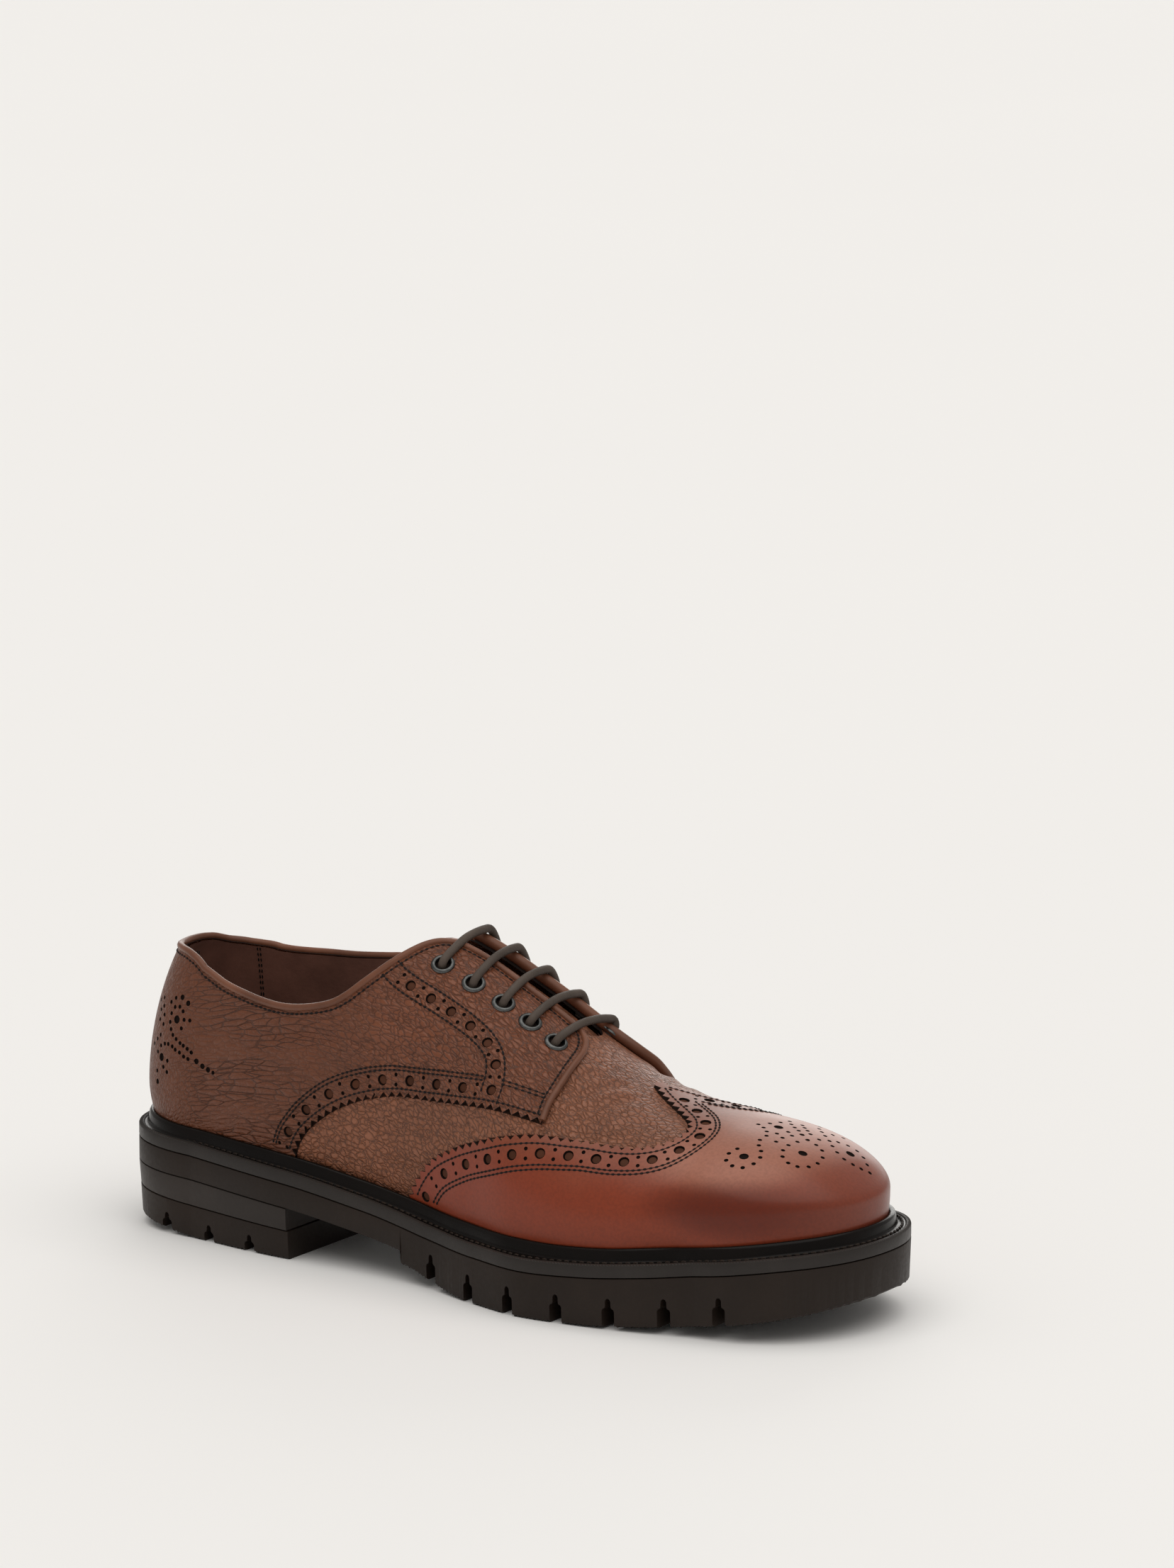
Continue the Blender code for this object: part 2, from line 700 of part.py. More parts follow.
def make_insole():
    inset = OVERLAY_WALL + UPPER_WALL + 2 * FIT_GAP
    base = lambda x: ledge_height(x) - LEDGE_RECESS + FIT_GAP
    profile = ((inset, base), (inset, lambda x: base(x) + INSOLE_THICKNESS))
    bm = loft(slab_rings(UPPER_STEPS, feather_line, profile))
    finish("insole", bm, material("insole leather", (0.09, 0.05, 0.035), 0.7))


def make_tongue():
    inset = OVERLAY_WALL + UPPER_WALL + 2 * FIT_GAP
    rises = np.linspace(TONGUE_EDGE_RISE, 1, 6)
    rings = []
    top_at = COLLAR_OUTER["rows"][-1][0] * SHOE_LENGTH - TONGUE_STAND
    front_at = throat_line(-1)[-1][0] + TONGUE_LAP
    for x in np.linspace(top_at, front_at, 9):
        q = 1 + (x - HEEL_FAN_AT) / (UPPER_TOE_FAN_AT - HEEL_FAN_AT)
        top = [upper_point(-1, q, r, inset) for r in rises]
        top += [upper_point(1, q, r, inset) for r in rises[-2::-1]]
        under = [upper_point(-1, q, r, inset + TONGUE_WALL) for r in rises]
        under += [upper_point(1, q, r, inset + TONGUE_WALL) for r in rises[-2::-1]]
        rings.append(top + under[::-1])
    bm = loft(rings, caps=(0, -1))
    finish("tongue", bm, material("tongue leather", (0.105, 0.045, 0.030), 0.55))


def surface_frame(x, y):
    """A point of the quarter's face and its outward normal."""
    step = MM
    centre = Vector((x, y, height_on_upper(x, y)))
    along = Vector((x + step, y, height_on_upper(x + step, y))) - centre
    across = Vector((x, y + step, height_on_upper(x, y + step))) - centre
    return centre, along.cross(across).normalized()


def eyelet_places():
    spreads = ((-1, "outer", EYELET_SPREAD_OUTER), (1, "inner", EYELET_SPREAD_INNER))
    first = COLLAR_OUTER["rows"][-1][0] * SHOE_LENGTH + FIRST_EYELET_INSET
    for i in range(EYELET_PAIRS):
        x = first + i * EYELET_PITCH
        for side, name, spread in spreads:
            yield i + 1, side, name, surface_frame(x, THROAT_CENTRE + side * spread)


def make_eyelets():
    metal = material("gunmetal", (0.10, 0.10, 0.10), 0.35, 1.0)
    hole, rim = EYELET_HOLE / 2, EYELET_OUTER / 2
    for number, side, name, (centre, normal) in eyelet_places():
        turn = normal.to_track_quat("Z", "Y")
        middle = (hole + rim) / 2
        profile = ((hole, 0), (hole, 0.6), (middle, 1), (rim, 0.5), (rim, 0))
        rings = []
        for k in range(EYELET_SIDES):
            angle = 2 * math.pi * k / EYELET_SIDES
            ring = []
            for radius, up in profile:
                along, across = radius * math.cos(angle), radius * math.sin(angle)
                flat = Vector((along, across, FIT_GAP + up * EYELET_PROUD))
                ring.append(centre + turn @ flat)
            rings.append(ring)
        finish(f"eyelet_{name}_{number}", loft(rings, closed=True), metal, sharp=60)


def make_laces():
    cord = material("lace cord", (0.05, 0.042, 0.038), 0.6)
    ends = {}
    for number, side, name, frame in eyelet_places():
        ends[number, side] = frame
    for number in range(1, EYELET_PAIRS + 1):
        (left, left_up), (right, right_up) = ends[number, -1], ends[number, 1]
        crown = (left + right) / 2
        crown.z = height_on_upper(crown.x, crown.y) + LACE_ARCH
        start, stop = left + left_up * 2.5 * FIT_GAP, right + right_up * 2.5 * FIT_GAP
        shoulder = 0.55 * LACE_ARCH + LACE_DIAMETER
        route = [start, left + left_up * shoulder, crown, right + right_up * shoulder, stop]
        curve = bpy.data.curves.new(f"lace_bar_{number}", "CURVE")
        curve.dimensions = "3D"
        curve.bevel_depth = LACE_DIAMETER / 2
        curve.bevel_resolution = 2
        curve.use_fill_caps = True
        curve.materials.append(cord)
        points = rounded(route)
        spline = curve.splines.new("POLY")
        spline.points.add(len(points) - 1)
        for place, point in zip(spline.points, points):
            place.co = (*(point - CENTRE), 1)
        bar = bpy.data.objects.new(f"lace_bar_{number}", curve)
        bpy.context.scene.collection.objects.link(bar)


def rounded(route):
    """A smooth curve through the points of a route, as a chain of short steps."""
    ends = [2 * route[0] - route[1]] + route + [2 * route[-1] - route[-2]]
    points = []
    for before, a, b, after in zip(ends, ends[1:], ends[2:], ends[3:]):
        for t in (0, 0.5):
            bend = (2 * before - 5 * a + 4 * b - after) * t * t + (3 * a - before - 3 * b + after) * t ** 3
            points.append(a + ((b - before) * t + bend) / 2)
    return points + [route[-1]]


clear_scene()
make_edge_strip()
make_outsole()
make_heel()
make_welt()
make_insole()
make_upper()
make_quarters()
make_wing_cap()
make_tongue()
make_eyelets()
make_laces()
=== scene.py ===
import json
import math
import bmesh
import bpy
import numpy as np
from mathutils import Euler, Matrix, Vector

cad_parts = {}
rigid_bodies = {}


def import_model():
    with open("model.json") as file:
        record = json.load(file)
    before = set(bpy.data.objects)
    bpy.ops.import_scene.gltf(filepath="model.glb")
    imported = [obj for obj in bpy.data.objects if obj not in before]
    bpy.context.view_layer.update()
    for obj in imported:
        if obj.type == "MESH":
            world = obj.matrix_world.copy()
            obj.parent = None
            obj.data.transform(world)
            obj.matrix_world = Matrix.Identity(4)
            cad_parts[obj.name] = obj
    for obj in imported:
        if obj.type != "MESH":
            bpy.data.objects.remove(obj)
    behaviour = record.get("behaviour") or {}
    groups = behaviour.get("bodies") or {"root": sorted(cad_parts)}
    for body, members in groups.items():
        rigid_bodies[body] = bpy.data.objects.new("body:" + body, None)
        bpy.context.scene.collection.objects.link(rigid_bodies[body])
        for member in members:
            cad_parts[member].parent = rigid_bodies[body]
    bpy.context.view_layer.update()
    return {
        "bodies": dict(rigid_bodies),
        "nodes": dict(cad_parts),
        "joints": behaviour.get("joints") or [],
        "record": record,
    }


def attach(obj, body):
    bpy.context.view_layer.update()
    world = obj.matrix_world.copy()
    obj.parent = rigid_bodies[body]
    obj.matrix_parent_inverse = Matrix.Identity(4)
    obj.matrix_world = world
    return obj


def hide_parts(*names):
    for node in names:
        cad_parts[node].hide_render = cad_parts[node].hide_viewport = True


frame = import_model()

mm = 0.001

# Sizes in millimetres, measured from the back of the heel; they repeat the part's own values.
shoe = {
    "length": 308.0,
    "ballWidth": 110.0,
    "instepHeight": 126.0,
    "heelHeight": 37.4,
    "forepartHeight": 21.5,
    "toeSpring": 13.4,
    "heelFan": 0.117 * 308.0,
    "soleToeFan": 0.838 * 308.0,
    "upperToeFan": 0.812 * 308.0,
    "tipY": 2.3,
    "centre": (154.0, -2.75, 0.0),
}

soleOutline = {
    "columns": ("station", "outer", "inner"),
    "rows": (
        (0.117, 0.314, 0.314),
        (0.260, 0.362, 0.336),
        (0.373, 0.366, 0.309),
        (0.471, 0.407, 0.336),
        (0.552, 0.478, 0.395),
        (0.633, 0.527, 0.455),
        (0.698, 0.513, 0.477),
        (0.769, 0.482, 0.464),
        (0.838, 0.432, 0.420),
    ),
}

soleProfile = {
    "columns": ("station", "heelRise", "ledgeSpring", "floorLift"),
    "rows": (
        (0.000, 1.000, 0.00, 0.31),
        (0.042, 0.960, 0.00, 0.22),
        (0.078, 0.920, 0.00, 0.13),
        (0.130, 0.860, 0.00, 0.00),
        (0.260, 0.698, 0.00, 0.00),
        (0.373, 0.396, 0.00, 0.00),
        (0.432, 0.225, 0.00, 0.47),
        (0.481, 0.095, 0.00, 0.20),
        (0.520, 0.040, 0.00, 0.04),
        (0.552, 0.020, 0.00, 0.00),
        (0.633, 0.000, 0.00, 0.00),
        (0.698, 0.000, 0.06, 0.015),
        (0.779, 0.000, 0.24, 0.15),
        (0.860, 0.000, 0.48, 0.37),
        (0.942, 0.000, 0.73, 0.69),
        (1.000, 0.000, 0.84, 1.00),
    ),
}

upperSections = {
    "columns": ("station", "outer", "inner", "spine", "bulge", "bulgeHeight", "ridge", "roundness"),
    "rows": (
        (0.000, 0.259, 0.255, 0.000, 0.0290, 0.119, 0.968, 1.75),
        (0.117, 0.259, 0.255, 0.000, 0.0255, 0.123, 0.984, 1.95),
        (0.195, 0.282, 0.264, 0.009, 0.0227, 0.127, 1.000, 2.12),
        (0.276, 0.295, 0.255, 0.023, 0.0227, 0.127, 1.000, 2.25),
        (0.357, 0.295, 0.241, 0.041, 0.0227, 0.127, 0.960, 2.35),
        (0.438, 0.314, 0.250, 0.050, 0.0227, 0.119, 0.897, 2.35),
        (0.519, 0.368, 0.295, 0.047, 0.0227, 0.111, 0.798, 2.30),
        (0.601, 0.429, 0.359, 0.033, 0.0227, 0.095, 0.681, 2.15),
        (0.666, 0.438, 0.391, 0.024, 0.0200, 0.087, 0.603, 2.05),
        (0.731, 0.423, 0.400, 0.020, 0.0182, 0.087, 0.556, 2.05),
        (0.812, 0.373, 0.373, 0.019, 0.0136, 0.095, 0.525, 2.20),
        (0.893, 0.373, 0.373, 0.019, 0.0110, 0.099, 0.497, 2.36),
        (0.935, 0.373, 0.373, 0.019, 0.0100, 0.101, 0.471, 2.42),
        (0.974, 0.373, 0.373, 0.019, 0.0091, 0.103, 0.413, 2.45),
    ),
}


# A smooth curve through the values that never overshoots them
def monotone(stations, values, at):
    step = np.diff(stations)
    rise = np.diff(values) / step
    slope = np.zeros(len(stations))
    slope[0], slope[-1] = rise[0], rise[-1]
    for i in range(1, len(stations) - 1):
        if rise[i - 1] * rise[i] > 0:
            before, after = 2 * step[i] + step[i - 1], step[i] + 2 * step[i - 1]
            slope[i] = (before + after) / (before / rise[i - 1] + after / rise[i])
    at = np.clip(at, stations[0], stations[-1])
    i = np.clip(np.searchsorted(stations, at) - 1, 0, len(stations) - 2)
    t = (at - stations[i]) / step[i]
    low = (1 + 2 * t) * (1 - t) ** 2 * values[i] + t * (1 - t) ** 2 * step[i] * slope[i]
    return low + t * t * (3 - 2 * t) * values[i + 1] + t * t * (t - 1) * step[i] * slope[i + 1]


def read(table, name, x):
    place = table["columns"].index(name)
    stations = np.array([row[0] for row in table["rows"]])
    values = np.array([row[place] for row in table["rows"]])
    return monotone(stations, values, np.asarray(x, float) / shoe["length"])


def ledgeHeight(x):
    rise = read(soleProfile, "heelRise", x) * (shoe["heelHeight"] - shoe["forepartHeight"])
    return shoe["forepartHeight"] + rise + read(soleProfile, "ledgeSpring", x) * shoe["toeSpring"]


def floorHeight(x):
    return read(soleProfile, "floorLift", x) * shoe["toeSpring"]


def fanOutline(side, q, halfWidth, toeAt, back, tip, roundness):
    q = np.asarray(q, float)
    heelAt = shoe["heelFan"]
    heelTurn = np.clip(q, 0, 1) * math.pi / 2
    toeTurn = np.clip(q - 2, 0, 1) * math.pi / 2
    bodyX = heelAt + (toeAt - heelAt) * (q - 1)
    heelX = heelAt - (heelAt - back) * np.cos(heelTurn) ** roundness[0]
    heelY = side * halfWidth(heelAt) * np.sin(heelTurn) ** roundness[0]
    toeX = toeAt + (tip - toeAt) * np.sin(toeTurn) ** roundness[1]
    reach = np.clip(np.cos(toeTurn), 0, None) ** roundness[1]
    toeY = shoe["tipY"] + (side * halfWidth(toeAt) - shoe["tipY"]) * reach
    x = np.where(q <= 1, heelX, np.where(q <= 2, bodyX, toeX))
    y = np.where(q <= 1, heelY, np.where(q <= 2, side * halfWidth(bodyX), toeY))
    return x, y


def soleEdge(side, q, inset=0.0):
    name = "outer" if side < 0 else "inner"
    width = lambda x: read(soleOutline, name, x) * shoe["ballWidth"] - inset
    return fanOutline(side, q, width, shoe["soleToeFan"], inset, shoe["length"] - inset, (0.78, 0.955))


def featherLine(side, q, inset=0.0):
    name = "outer" if side < 0 else "inner"
    width = lambda x: read(upperSections, name, x) * shoe["ballWidth"] - inset
    return fanOutline(side, q, width, shoe["upperToeFan"], 5.2 + inset, 299.6 - inset, (0.88, 0.95))


def spinePoint(q):
    x = shoe["heelFan"] + (shoe["upperToeFan"] - shoe["heelFan"]) * np.clip(np.asarray(q) - 1, 0, 1)
    return x, read(upperSections, "spine", x) * shoe["ballWidth"]


# Steps go 0 to 1 round the heel, 1 to 2 along the body and 2 to 3 round the toe
def stepOf(x, toe="upperToeFan"):
    return 1 + (x - shoe["heelFan"]) / (shoe[toe] - shoe["heelFan"])


# A point of the last: rise goes from 0 at the feather line over the widest place to 1 on the ridge
def lastSurface(side, q, rise):
    widest = chart["swell"]
    footX, footY = featherLine(side, q)
    centreX, centreY = spinePoint(q)
    reach = np.hypot(footX - centreX, footY - centreY)
    swell = 1 + read(upperSections, "bulge", footX) * shoe["ballWidth"] / reach
    wideX, wideY = centreX + (footX - centreX) * swell, centreY + (footY - centreY) * swell
    footZ = ledgeHeight(footX)
    wideZ = footZ + read(upperSections, "bulgeHeight", footX) * shoe["instepHeight"]
    k = np.clip(rise / widest, 0, 1)
    pull = (1 - k) ** 2
    turn = np.clip((rise - widest) / (1 - widest), 0, 1) * math.pi / 2
    power = 2 / read(upperSections, "roundness", footX)
    width = np.where(rise < 1, np.clip(np.cos(turn), 0, None) ** power, 0)
    topX = centreX + (wideX - centreX) * width
    ridgeZ = read(upperSections, "ridge", topX) * shoe["instepHeight"]
    topZ = wideZ + (ridgeZ - wideZ) * np.sin(turn) ** power
    low = rise < widest
    return np.stack([
        np.where(low, wideX + (footX - wideX) * pull, topX),
        np.where(low, wideY + (footY - wideY) * pull, centreY + (wideY - centreY) * width),
        np.where(low, footZ + (wideZ - footZ) * k, topZ),
    ], -1)


# The flat pattern: a runs along the shoe, b is the way round it from the ridge, outer side negative.
# Heel and toe are fans about one point, so a pattern piece stays whole round both ends.
chart = {"steps": 600, "turns": 300, "swell": 0.18, "above": 700, "below": 160}


def makeChart(side):
    q = np.linspace(0, 3, chart["steps"])
    swell = chart["swell"]
    rise = np.concatenate([np.linspace(1, swell, chart["above"])[:-1], np.linspace(swell, 0, chart["below"])])
    stations, rises = np.meshgrid(q, rise, indexing="ij")
    points = lastSurface(side, stations, rises)
    gone = np.linalg.norm(np.diff(points, axis=1), axis=-1)
    gone = np.concatenate([np.zeros((len(q), 1)), np.cumsum(gone, 1)], 1)
    rows = np.zeros((len(q), chart["turns"], 3))
    for i in range(len(q)):
        at = np.linspace(0, gone[i, -1], chart["turns"])
        for c in range(3):
            rows[i, :, c] = np.interp(at, gone[i], points[i, :, c])
    footX, footY = featherLine(side, q)
    centreX, centreY = spinePoint(q)
    angle = np.arctan2(np.abs(footY - centreY), np.abs(footX - centreX))
    return {"rows": rows, "reach": gone[:, -1], "q": q, "angle": angle}


charts = {side: makeChart(side) for side in (-1, 1)}


# The last's surface at pattern places, read from the chart
def surfaceAt(a, b):
    found = np.zeros((len(a), 3))
    heelAt, toeAt = shoe["heelFan"], shoe["upperToeFan"]
    for side in (-1, 1):
        here = (b < 0) if side < 0 else (b >= 0)
        if not here.any():
            continue
        x, y = a[here], np.abs(b[here])
        table = charts[side]
        heel, toe = table["q"] <= 1, table["q"] >= 2
        heelQ = np.interp(np.arctan2(y, heelAt - x), table["angle"][heel], table["q"][heel])
        toeQ = np.interp(np.arctan2(y, x - toeAt), table["angle"][toe][::-1], table["q"][toe][::-1])
        q = np.where(x < heelAt, heelQ, np.where(x > toeAt, toeQ, stepOf(x)))
        away = np.where(x < heelAt, np.hypot(x - heelAt, y), np.where(x > toeAt, np.hypot(x - toeAt, y), y))
        row = np.clip(q / 3 * (chart["steps"] - 1), 0, chart["steps"] - 1.001)
        i = row.astype(int)
        f = (row - i)[:, None]
        reach = table["reach"][i] * (1 - f[:, 0]) + table["reach"][i + 1] * f[:, 0]
        turn = away / reach * (chart["turns"] - 1)
        j = np.clip(turn.astype(int), 0, chart["turns"] - 2)
        g = (turn - j)[:, None]
        grid = table["rows"]
        near = grid[i, j] * (1 - g) + grid[i, j + 1] * g
        far = grid[i + 1, j] * (1 - g) + grid[i + 1, j + 1] * g
        found[here] = near * (1 - f) + far * f
    return found


def normalAt(a, b):
    h = 0.8
    along = surfaceAt(a + h, b) - surfaceAt(a - h, b)
    across = surfaceAt(a, b + h) - surfaceAt(a, b - h)
    normal = np.cross(along, across)
    return normal / np.linalg.norm(normal, axis=1)[:, None]


# Creases listed one by one: start, end, bow, width and depth of each soft trough, in pattern millimetres.
creases = {
    "columns": ("aStart", "bStart", "aEnd", "bEnd", "bow", "width", "depth"),
    "rows": (
        (60, -66, 108, -63, 3, 2.03, 0.51),
        (70, -72, 122, -68, -2.5, 1.76, 0.45),
        (48, -76, 96, -80, 2.5, 2.16, 0.48),
        (88, -77, 128, -72, 2, 1.89, 0.39),
        (96, -58, 138, -53, -2, 1.89, 0.42),
        (112, -50, 146, -46, 2, 1.76, 0.39),
        (60, -86, 92, -91, -2, 2.16, 0.39),
        (104, -62, 130, -60, 1.5, 1.49, 0.33),
        (40, -64, 66, -60, 1.5, 1.89, 0.36),
        (196, -34, 208, -8, 2.5, 2.43, 0.63),
        (203, -36, 214, -12, 2, 2.16, 0.51),
        (198, -42, 222, -32, -2.5, 2.29, 0.51),
        (192, -30, 199, -10, 1.5, 2.03, 0.54),
        (150, -72, 186, -57, 2, 2.43, 0.45),
        (120, -90, 160, -76, 2.5, 2.43, 0.42),
        (110, -98, 140, -93, -2, 2.16, 0.36),
        (60, 64, 108, 60, -3, 2.03, 0.51),
        (70, 72, 122, 66, 2.5, 1.89, 0.45),
        (48, 76, 96, 78, -2.5, 2.16, 0.45),
        (96, 56, 138, 51, 2, 1.89, 0.42),
        (198, 34, 209, 8, -2.5, 2.43, 0.6),
        (206, 36, 216, 12, -2, 2.16, 0.51),
        (150, 66, 186, 53, -2, 2.43, 0.45),
        (118, 84, 156, 72, -2.5, 2.43, 0.42),
    ),
}


def creaseAt(a, b):
    depth = np.zeros(len(a))
    for aStart, bStart, aEnd, bEnd, bow, width, deep in creases["rows"]:
        alongA, alongB = aEnd - aStart, bEnd - bStart
        length = math.hypot(alongA, alongB)
        t = ((a - aStart) * alongA + (b - bStart) * alongB) / length ** 2
        off = ((a - aStart) * -alongB + (b - bStart) * alongA) / length
        off = off - bow * 4 * t * (1 - t)
        fade = np.clip(np.minimum(t, 1 - t) * 4, 0, 1)
        fade = fade * fade * (3 - 2 * fade)
        trough = -np.exp(-(off / width) ** 2)
        ridges = np.exp(-((np.abs(off) - 1.9 * width) / (1.2 * width)) ** 2)
        depth += fade * deep * (trough + 0.45 * ridges)
    return depth


def bend(a, b, lift=0.0):
    a, b = np.asarray(a, float), np.asarray(b, float)
    return surfaceAt(a, b) + normalAt(a, b) * (np.asarray(lift) + creaseAt(a, b))[:, None]


def toScene(points):
    return (np.asarray(points, float) - np.array(shoe["centre"])) * mm


# Points every gap along a smooth curve through the given ones
def spline(points, gap):
    points = np.asarray(points, float)
    ends = np.concatenate([[2 * points[0] - points[1]], points, [2 * points[-1] - points[-2]]])
    dense = []
    for p0, p1, p2, p3 in zip(ends, ends[1:], ends[2:], ends[3:]):
        d1 = np.linalg.norm(p1 - p0) ** 0.5 + 1e-9
        d2 = np.linalg.norm(p2 - p1) ** 0.5 + 1e-9
        d3 = np.linalg.norm(p3 - p2) ** 0.5 + 1e-9
        m1 = (p2 - p1) / d2 - (p2 - p0) / (d1 + d2) + (p1 - p0) / d1
        m2 = (p3 - p2) / d3 - (p3 - p1) / (d2 + d3) + (p2 - p1) / d2
        t = np.linspace(0, 1, 24, endpoint=False)[:, None]
        h1, h2 = 2 * t ** 3 - 3 * t ** 2 + 1, t ** 3 - 2 * t ** 2 + t
        h3, h4 = -2 * t ** 3 + 3 * t ** 2, t ** 3 - t ** 2
        dense.append(h1 * p1 + h2 * d2 * m1 + h3 * p2 + h4 * d2 * m2)
    dense = np.concatenate(dense + [points[-1:]])
    return resample(dense, gap)


def resample(points, gap):
    gone = np.concatenate([[0], np.cumsum(np.linalg.norm(np.diff(points, axis=0), axis=1))])
    count = max(2, int(round(gone[-1] / gap)) + 1)
    at = np.linspace(0, gone[-1], count)
    return np.stack([np.interp(at, gone, points[:, c]) for c in range(points.shape[1])], -1)


# Distance gone along a pattern line, measured on the bent shoe
def lengths(line):
    points = surfaceAt(line[:, 0], line[:, 1])
    return np.concatenate([[0], np.cumsum(np.linalg.norm(np.diff(points, axis=0), axis=1))])


# A pattern line moved to its left by a distance
def offsetLine(line, away):
    along = np.gradient(line, axis=0)
    along /= np.linalg.norm(along, axis=1)[:, None] + 1e-9
    return line + np.stack([-along[:, 1], along[:, 0]], -1) * np.reshape(away, (-1, 1))


# The same pattern line on the inner side, whose sections are a little narrower
def mirrorLine(line):
    a, b = line[:, 0], line[:, 1]
    q = np.clip(stepOf(a), 0, 3)
    ratio = np.interp(q, charts[1]["q"], charts[1]["reach"]) / np.interp(q, charts[-1]["q"], charts[-1]["reach"])
    return np.stack([a, -b * ratio], -1)


# Pattern lines of the outer side
lines = {
    "collarOuter": [(2.6, 0), (3.8, -9), (7.8, -17.7), (14.7, -25.2), (23.3, -30.9), (30.1, -34.6), (39.8, -39.9),
                    (46.3, -43.7), (53.4, -47.0), (59.8, -49.3), (66.3, -51.0), (72.7, -52.2), (78.4, -52.6),
                    (84.1, -52.3), (89.8, -51.2), (95.6, -48.7), (100.6, -44.6), (105.6, -38.9), (109.8, -33.7),
                    (113.4, -28.9), (116.6, -24.4), (119.7, -19.6), (122.5, -15.0), (125.6, -10.7), (130.2, -7.0)],
    "facingOuter": [(130.2, -7.0), (139.9, -5.6), (151.3, -5.0), (164.1, -4.2), (174.4, -3.0), (180.4, -3.0),
                    (184.3, -5.8), (187.3, -11.4), (189.0, -20.7), (189.9, -32.5), (189.9, -40.0), (190.4, -46.4)],
    "swingOuter": [(190.4, -46.4), (182.0, -49.6), (172.5, -53.4), (163.4, -57.3), (152.0, -62.0), (138.4, -67.2),
                   (124.9, -71.5), (112.7, -76.9), (102.0, -83.3), (93.4, -89.9), (85.8, -97.0), (81.5, -104),
                   (79.5, -113)],
    "collarInner": [(2.6, 0), (3.1, 6), (4.9, 15), (8.8, 24.5), (17.0, 32.4), (24.0, 36.0), (32.2, 38.2), (44.8, 40.4),
                    (56.3, 41.4), (65.6, 41.1), (75.6, 39.8), (89.8, 37.0), (101, 33.0), (110, 27.5), (117, 20.5),
                    (122.5, 13.0), (128.6, 7.4)],
    "facingInner": [(128.6, 7.4), (139.9, 7.9), (149.1, 9.2), (159.1, 10.6), (167.7, 12.9), (176.3, 15.4),
                    (186.3, 17.8), (190.6, 20.4), (193.6, 25.0), (195.4, 31.5), (196.2, 38.0), (197.0, 44.6)],
    "swingInner": [(197.0, 44.6), (186.0, 47.8), (174.0, 51.4), (163.4, 54.3), (152.0, 57.6), (138.4, 61.6),
                   (124.9, 65.3), (112.7, 70.2), (102.0, 76.5), (93.4, 83.4), (85.8, 91.0), (81.5, 98), (79.5, 107)],
    "wing": [(130.4, -113), (132.2, -107), (135.4, -99.5), (142.4, -88.6), (154.2, -77.9), (167.8, -67.9),
             (179.7, -59.1), (192.5, -50.6), (205.2, -44.6), (219.2, -40.0), (227.2, -36.6), (233.4, -32.0),
             (237.0, -26.0), (237.4, -20.4), (234.6, -15.9), (230.0, -12.7), (224.8, -9.8), (219.1, -6.7),
             (214.5, -3.8), (211.3, -1.4)],
    "band": [(113.6, -29.4), (118.0, -31.4), (123.4, -32.8), (133.4, -33.9), (143.4, -34.3), (152.7, -34.8),
             (159.2, -35.9), (164.4, -38.6), (167.0, -42.6), (167.9, -46.6), (167.9, -52.0)],
}

teeth = {"pitch": 3.8, "depth": 2.0}
holes = {"large": 4.0, "small": 1.5, "pairSpread": 3.5}
# Share of the hole's width and depth of each ring of a pressed hole, from the rim in
pressed = {
    "large": ((0.5, -0.35), (0.45, -0.85), (0.40, -0.85), (0.37, -0.62), (0.22, -0.55), (0.0, -0.55)),
    "small": ((0.5, -0.45), (0.0, -0.6)),
}
rows = {"single": 1.6, "brogue": 4.6, "double": 7.8, "doubleGap": 1.35, "bandHalf": 3.9, "swingInset": 0.6,
        "footGap": 6.5}
wingRows = {"inset": 1.4, "single": 1.35, "brogue": 4.45, "double": 7.9, "pitch": 10.9}
stitch = {"pitch": 2.05, "length": 1.7, "thick": 0.92, "seam": 0.34, "sink": -0.06, "rise": 0.10}
eyelet = {
    "outer": 8.6, "hole": 5.3, "cut": 5.6, "proud": 0.9, "sides": 40, "first": 132.2, "pitch": 11.95, "farY": 20.9,
    "near": ((132.0, -20.0), (145.2, -20.0), (157.6, -19.2), (168.6, -18.2), (179.2, -17.0)),
}
pipe = {"collar": 1.35, "near": 1.2, "far": 1.95}
leather = {"overlay": 1.2, "baseLift": -1.15, "liningLift": -3.0, "pipeRadius": 1.45, "cell": 1.35}


# Zigzag points along a pattern line, standing out on its left side
def gimped(line):
    gone = lengths(line)
    count = int(round(gone[-1] / teeth["pitch"]))
    phase = np.arange(count * 4 + 1) / 4
    at = phase / count * gone[-1]
    path = np.stack([np.interp(at, gone, line[:, c]) for c in (0, 1)], -1)
    return path + squareTo(path) * (np.abs(1 - 2 * (phase % 1)) * teeth["depth"])[:, None]


# A step of one real millimetre to the left of each point of a pattern line
def squareTo(path):
    found = []
    for place, along in zip(path, np.gradient(path, axis=0)):
        stretch = patternStretch(place)
        real = np.linalg.solve(stretch, along)
        found.append(stretch @ np.array([-real[1], real[0]]) / np.linalg.norm(real))
    return np.array(found)


# The shadow that lies in the gaps between the points of a cut edge
def toothShade(name, line, side):
    path = resample(line, 1.6)
    away = squareTo(path) * side
    sink = leather["baseLift"] + 0.03
    strip = np.stack([bend(*(path + away * step).T, sink) for step in (-1.2, teeth["depth"] - 0.15)], 1)
    shade = gridObject(strip)
    faceOut(shade, list(shade.faces)[:8], path[len(path) // 2])
    register(meshObject(name, shade), "grain_leather", "shade")


def faceOut(bm, faces, place):
    bm.normal_update()
    up = Vector(normalAt(*np.array([place]).T)[0])
    if sum(face.normal.dot(up) for face in faces) < 0:
        bmesh.ops.reverse_faces(bm, faces=bm.faces)


